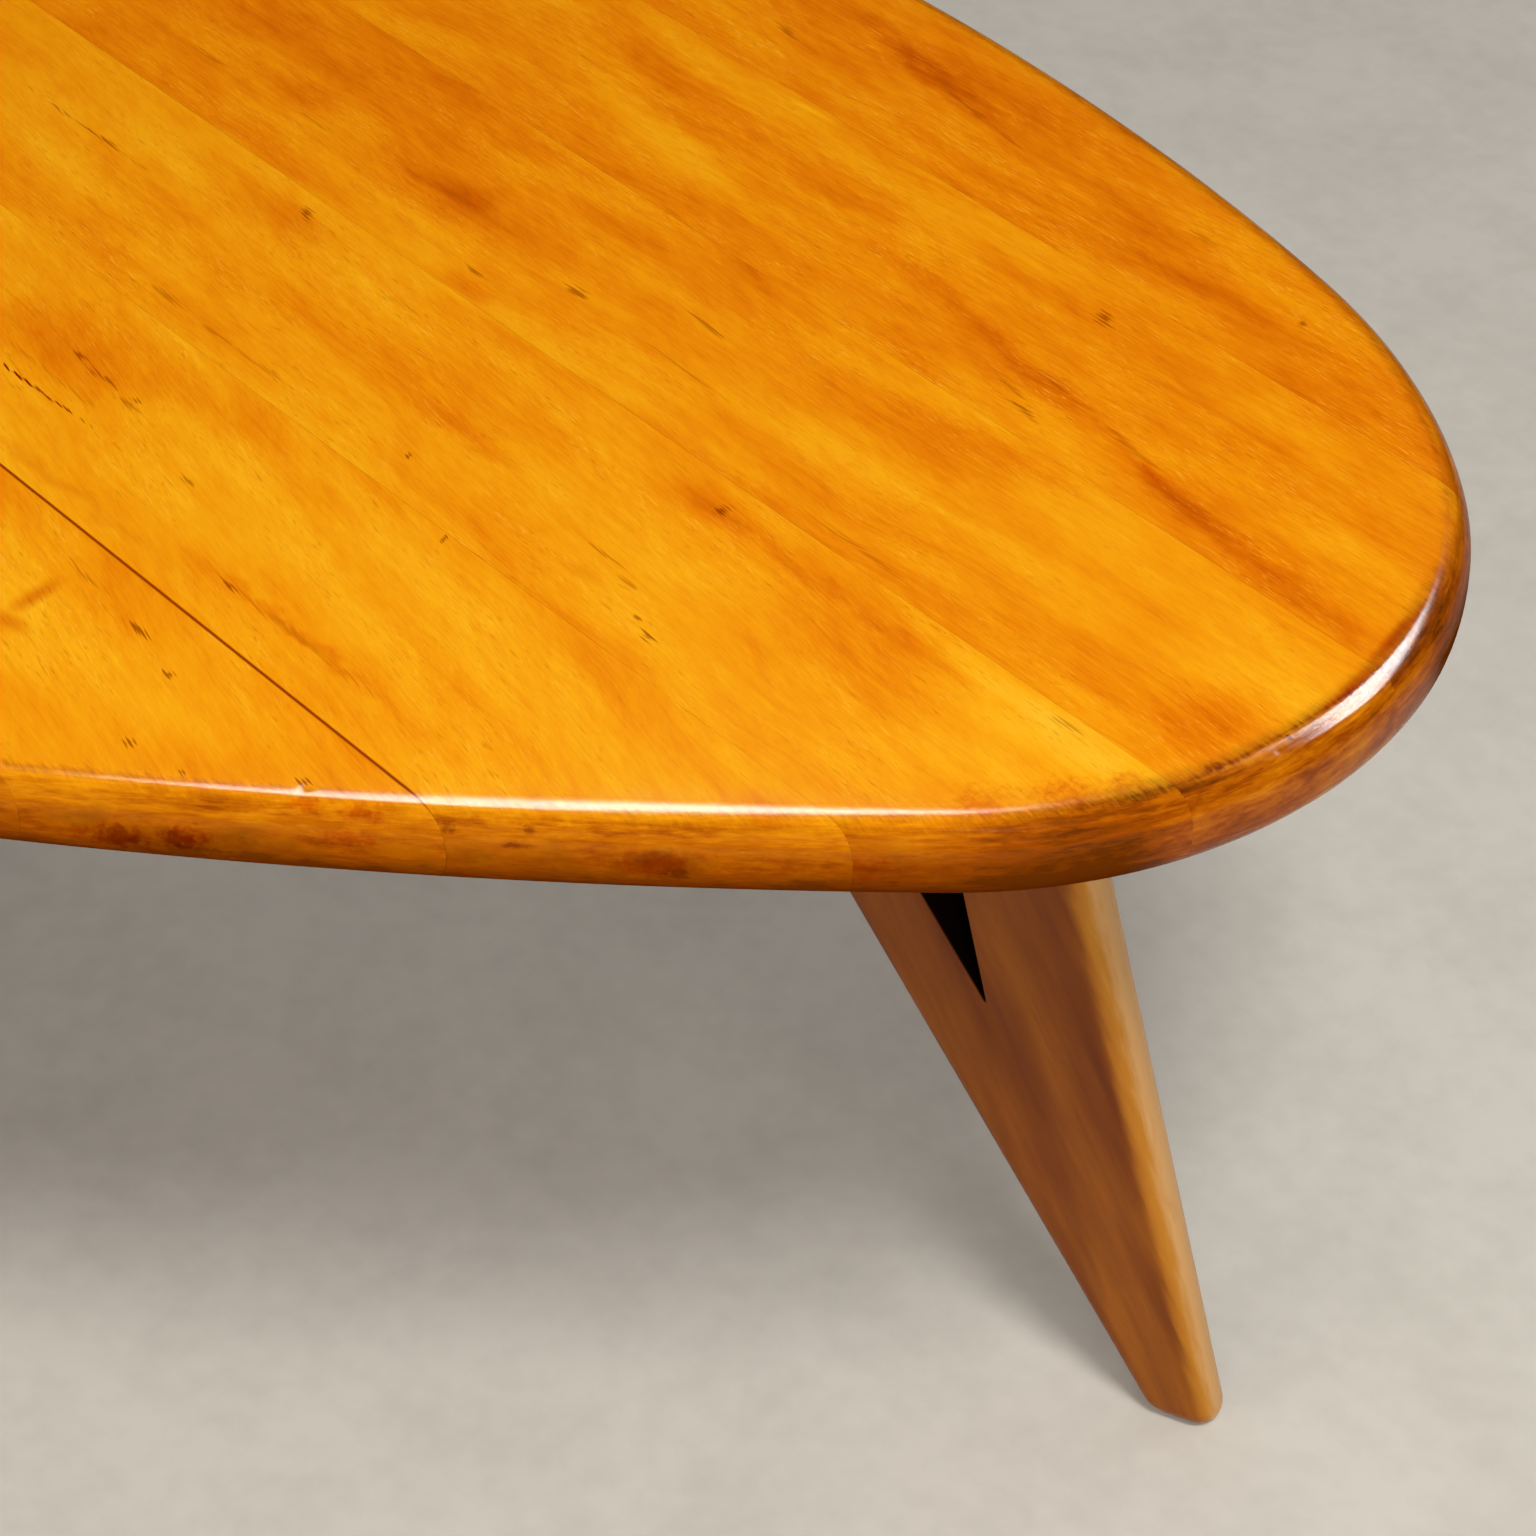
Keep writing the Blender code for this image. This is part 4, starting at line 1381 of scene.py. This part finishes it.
@dataclass
class Studio:
    """Pale floor, soft lamps and the camera at the photograph's angle.

    Angles are in degrees, powers in watts and lengths in metres, except the camera's sensor, which is
    in millimetres.
    """

    camera_place: tuple[float, float, float] = (1.249, -0.7986, 1.389)
    camera_pitch: float = 40.0
    camera_turn: float = 48.9
    focal_pixels: float = 4500.0
    picture_pixels: float = 1536.0
    sensor: float = 36.0
    floor_half: float = 6.0
    floor_paint: FloorPaint = FloorPaint()
    lamp_aim: tuple[float, float, float] = (0.2, 0.0, 0.35)
    lamp_colour: str = "FFFEFC"
    world_strength: float = 0.34
    lamps: tuple[Lamp, ...] = (
        Lamp("key_box", (0.26, -0.58, 1.0), 2.7, (0.64, 0.64), 46.0, False),
        Lamp("near_fill", (0.15, -1.0, 0.40), 3.2, (3.0, 1.6), 48.0, False),
        Lamp("left_fill", (-0.9, -0.8, 0.5), 2.4, (1.6, 1.2), 9.0, False),
        Lamp("far_window", (-0.07, 0.435, 1.0), 2.6, (0.42, 1.62), 90.0, True, -33.0),
        Lamp("side_window", (0.86, 0.54, 1.0), 2.6, (1.60, 0.56), 135.0, True, 10.0),
    )

    def toward(self, right: float, back: float, up: float) -> Vector:
        """Turn a direction from the camera's view into the table's frame.

        Args:
            right: To the right.
            back: Away from the camera.
            up: Straight up.

        Returns:
            The direction, one long.
        """
        turn = math.radians(self.camera_turn)
        return Vector((
            right * math.cos(turn) - back * math.sin(turn),
            right * math.sin(turn) + back * math.cos(turn), up)).normalized()

    def camera(self) -> None:
        """Add the camera."""
        data = bpy.data.cameras.new("camera")
        data.sensor_width = self.sensor
        data.lens = self.sensor * self.focal_pixels / self.picture_pixels
        camera = bpy.data.objects.new("camera", data)
        camera.location = self.camera_place
        camera.rotation_euler = (
            math.radians(90 - self.camera_pitch), 0.0, math.radians(self.camera_turn))
        bpy.context.scene.collection.objects.link(camera)
        bpy.context.scene.camera = camera

    def floor(self) -> None:
        """Add the seamless floor."""
        h = self.floor_half
        floor = mesh_object(
            "floor", np.array([[-h, -h, 0], [h, -h, 0], [h, h, 0], [-h, h, 0]]), [[0, 1, 2, 3]])
        floor.data.materials.append(self.floor_paint.material())

    def hang(self, lamp: Lamp) -> None:
        """Add one soft box that looks at the table.

        Args:
            lamp: The soft box.
        """
        data = bpy.data.lights.new(lamp.name, "AREA")
        data.shape = "RECTANGLE"
        data.size, data.size_y = lamp.size
        data.energy = lamp.power
        data.color = hex_colour(self.lamp_colour)[:3]
        box = bpy.data.objects.new(lamp.name, data)
        direction = self.toward(*lamp.way)
        box.location = Vector(self.lamp_aim) + direction * lamp.distance
        roll = Quaternion((0, 0, 1), math.radians(lamp.roll))
        box.rotation_euler = (direction.to_track_quat("Z", "Y") @ roll).to_euler()
        box.visible_glossy = lamp.mirrored
        box.visible_diffuse = not lamp.mirrored
        bpy.context.scene.collection.objects.link(box)

    def world(self) -> None:
        """Fill the room with even light that shows in no reflection."""
        world = bpy.data.worlds.new("studio")
        world.use_nodes = True
        background = world.node_tree.nodes["Background"]
        background.inputs["Color"].default_value = hex_colour(self.lamp_colour)
        background.inputs["Strength"].default_value = self.world_strength
        world.cycles_visibility.glossy = False
        bpy.context.scene.world = world

    def build(self) -> None:
        """Set up camera, floor, lamps and world."""
        self.camera()
        self.floor()
        for lamp in self.lamps:
            self.hang(lamp)
        self.world()
        bpy.context.scene.view_settings.view_transform = "Standard"


# The boards from back to front. Each mark is x, y, half length, half width, turn, strength and, on the
# rim, height above the floor and half height.
BOARDS = (
    BoardLook(
        offset=(0.3, 1.7, 0.0), grain_turn=-7.0, tone=-0.07, rim_tone=0.36,
        marks=marks(STAIN,
            (110, 290, 55, 6, -8), (240, 280, 35, 8, -6, 0.7), (-150, 290, 70, 9, -6))
        + marks(FLECK,
            (130, 285, 9, 0.9, -8, 0.31), (158, 281, 7.2, 0.9, -8, 0.31),
            (38, 269, 5, 1.6, -10, 0.47), (258, 288, 7.2, 1.6, -6, 0.26),
            (325, 275, 1.8, 1.4, 0, 0.62), (-210, 276, 9, 1.2, -6, 0.31)),
    ),
    BoardLook(
        offset=(2.1, 0.4, 0.3), grain_turn=-7.0, tone=-0.02, rim_tone=0.38,
        marks=marks(STAIN,
            (270, 178, 90, 7, -9, 0.9), (420, 156, 60, 6, -7, 0.8), (100, 208, 75, 20, 4, 0.6),
            (390, 158, 50, 16, 0, 0.6), (245, 150, 25, 10, -8, 0.8), (375, 160, 20, 5, -10, 0.9),
            (130, 240, 40, 12, -8, 0.7), (20, 215, 60, 11, -8, 0.8), (-200, 200, 60, 9, -6, 0.9))
        + marks(LIGHT,
            (385, 216, 45, 16, 0, 0.6), (60, 175, 50, 12, -6, 0.8), (350, 225, 40, 14, -8, 0.7),
            (90, 236, 12, 1.5, 3, 0.9), (-330, 200, 50, 14, -6, 0.7))
        + marks(FLECK,
            (285, 163, 9, 0.9, -13, 0.36), (297, 157, 5, 1.1, -8, 0.55),
            (290, 178, 9, 0.8, -8, 0.28), (340, 170, 11.2, 1.2, -9, 0.26),
            (272, 221, 4.5, 2.4, -30, 0.62), (-160, 186, 7.2, 1.2, -8, 0.36))
        + marks(SMUDGE,
            (255, 180, 24, 4, -8, 0.35), (272, 165, 22, 4, -9, 0.35),
            (355, 165, 10, 2.4, -8, 0.75), (240, 244, 4, 3, 0, 0.4), (476, 163, 18, 2.4, 106, 1.0)),
    ),
    BoardLook(
        offset=(4.6, 2.2, 0.1), grain_turn=-5.0, tone=0.0, rim_tone=0.38,
        marks=marks(STAIN,
            (100, 66, 45, 14, 0, 0.5), (245, 116, 45, 18, 0, 0.5), (95, 53, 16, 5, 0, 0.9),
            (-50, 90, 15, 10, 0, 0.7), (50, 95, 12, 8, 0, 0.7), (30, 78, 40, 20, 0, 0.7),
            (470, 80, 20, 22, 0, 1.0), (300, 122, 34, 18, 0, 0.8), (-280, 100, 60, 14, -4, 0.8))
        + marks(LIGHT,
            (220, 60, 50, 8, -2, 0.5))
        + marks(FLECK,
            (127, 83, 4, 1.9, 0, 0.62), (93, 62, 5, 0.8, 0, 0.55), (-100, 78, 9, 1.0, -2, 0.31),
            (-30, 80, 7.2, 1.0, -2, 0.31), (195, 80, 11.2, 0.9, -3, 0.26),
            (180, 105, 6, 1.0, -6, 0.47), (325, 56, 18.8, 0.9, -1, 0.23),
            (-330, 70, 8.1, 1.3, -4, 0.36), (485, 65, 4.5, 2.6, 60, 0.6, 429, 4),
            (490, 95, 1.4, 1.1, 0, 1.0, 428, 4))
        + marks(SMUDGE,
            (486, 127, 18, 2.4, 97, 1.0)),
    ),
    BoardLook(
        offset=(1.2, 3.9, 0.6), grain_turn=-1.0, tone=0.04, rim_tone=0.40,
        marks=marks(STAIN,
            (0, 36, 60, 14, 0, 0.6), (265, 33, 18, 8, 0, 0.9), (335, 33, 65, 4, 0, 0.7),
            (230, -53, 60, 3, 0, 0.8), (165, -5, 35, 6, 0, 0.7), (-260, 0, 80, 9, 0, 0.8))
        + marks(LIGHT,
            (285, -12, 70, 26, 0, 0.5), (20, -25, 30, 12, 0, 0.7), (430, 38, 40, 22, 0, 1.0),
            (440, -6, 40, 18, 0, 0.9))
        + marks(FLECK,
            (17, 38, 3.5, 2.0, -25, 0.7), (270, 34, 2.1, 1.9, 0, 0.7), (-103, 9, 6, 1.0, 0, 0.62),
            (-77, 9.5, 5, 0.9, 0, 0.62), (-90, 9, 30, 0.4, 0, 0.62), (28, -36, 7.2, 1.2, 0, 0.31),
            (60, -37, 6, 0.8, 0, 0.27), (90, -37, 9, 0.9, 0, 0.28), (170, -30, 1.6, 1.1, -40, 0.7),
            (95, 27, 9, 1.0, 0, 0.18), (297, -28, 1.4, 1.0, 0, 0.62), (307, -32, 3, 1.2, -10, 0.7),
            (437, 43, 5, 1.2, 8, 0.39), (-300, -14, 4, 1.4, 0, 0.7), (262, -14, 5, 0.7, 0, 0.39),
            (282, -18, 4, 0.7, 0, 0.39))
        + marks(SMUDGE,
            (20, 31, 22, 9, 0, 0.35), (265, -26, 8, 3.4, 0, 0.3),
            (433, -46, 12, 12, 0, 0.6, 414, 5), (447, -5, 10, 8, 60, 0.8, 428, 3),
            (461, 17, 12, 7, 60, 0.9, 427, 4), (470, 36, 7, 6, 60, 0.9, 427, 4)),
    ),
    BoardLook(
        offset=(3.4, 5.1, 0.2), grain_turn=5.0, tone=0.10, rim_tone=0.48, shaded_seam=-144.0,
        marks=marks(STAIN,
            (225, -122, 50, 3, 0, 0.9), (30, -80, 45, 22, 0, 0.8), (405, -60, 12, 8, 0, 0.8),
            (-190, -90, 70, 10, 0, 0.8))
        + marks(LIGHT,
            (-340, -84, 60, 12, 0, 0.7))
        + marks(FLECK,
            (36, -107.8, 15, 0.55, 2, 1.0), (60, -106.9, 13, 0.5, 3, 0.9),
            (190, -123.5, 3.5, 0.8, 0, 0.7), (232, -123, 26.2, 1.2, 0, 0.20),
            (40, -83, 3, 0.9, 0, 0.62), (60, -84.5, 6, 1.1, 0, 0.55), (77, -84, 2.5, 0.8, 0, 0.62),
            (77, -87.5, 7, 0.8, 0, 0.47), (50, -98, 16.5, 0.8, 0, 0.20),
            (130, -99, 4, 1.0, 0, 0.55), (218, -50.5, 2.6, 0.8, -60, 0.62),
            (-150, -118, 7.2, 1.2, 0, 0.36), (335, -142, 3, 3, 0, 0.6, 424, 1.6),
            (355, -122, 2.4, 2.4, 0, 0.6, 424.8, 1.4), (353, -127, 5, 4, 0, 0.6, 419.4, 1.4))
        + marks(SMUDGE,
            (110, -134, 55, 3, 0, 0.35), (30, -80, 42, 17, 0, 0.22),
            (387, -94, 14, 12, 45, 1.0, 414, 5)),
    ),
    BoardLook(
        offset=(6.2, 1.1, 0.9), grain_turn=6.0, tone=0.085, rim_tone=0.50, border=0.5, shaded_seam=-144.0,
        marks=marks(STAIN,
            (60, -190, 60, 10, 0, 0.8), (-150, -200, 60, 9, 0, 0.8))
        + marks(LIGHT,
            (240, -180, 30, 10, 0, 0.6))
        + marks(FLECK,
            (190, -161.5, 5, 1.2, 0, 0.7), (150, -158.5, 9, 0.8, -8, 0.36),
            (216, -168.5, 1.8, 1.3, 0, 0.7), (237, -199, 1.8, 1.3, 0, 0.7),
            (262, -195, 1.5, 1.0, 0, 0.55), (293, -167, 2.2, 1.6, 20, 0.78),
            (30, -212, 7, 1.0, 0, 0.55), (256, -218, 7, 5, 45, 0.35, 411, 4),
            (272, -204, 6, 5, 45, 0.45, 412, 4))
        + marks(SMUDGE,
            (150, -178, 11, 4, 100, 0.9), (156, -193, 9, 4, 10, 0.8),
            (256, -218, 12, 8, 45, 1.0, 411, 5), (272, -204, 9, 7, 45, 1.0, 413, 5),
            (314, -159, 7, 6, 45, 0.9, 426, 2.5), (300, -172, 5, 4, 45, 0.9, 427, 2),
            (312, -165, 10, 8, 45, 0.9, 418, 3)),
    ),
    BoardLook(
        offset=(5.3, 4.4, 0.5), grain_turn=6.0, tone=0.03, rim_tone=0.50, border=0.5,
        marks=marks(STAIN,
            (-20, -262, 40, 6, 0, 0.8))
        + marks(FLECK,
            (60, -276, 6, 1.0, 0, 0.55), (-70, -258, 3, 1.2, 0, 0.62)),
    ),
)


def main() -> None:
    """Build the table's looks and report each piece."""
    logging.basicConfig(level=logging.INFO, format="%(name)s: %(message)s")
    Studio().build()
    top = TableTop(finish=LacqueredPine(), wall=SeamWall(), looks=BOARDS)
    top.build()
    LegSet(finish=StainedBeech()).build(top.form.outline, top.underside())
    Dowels(finish=RawBeech()).dress()


if __name__ == "__main__":
    main()
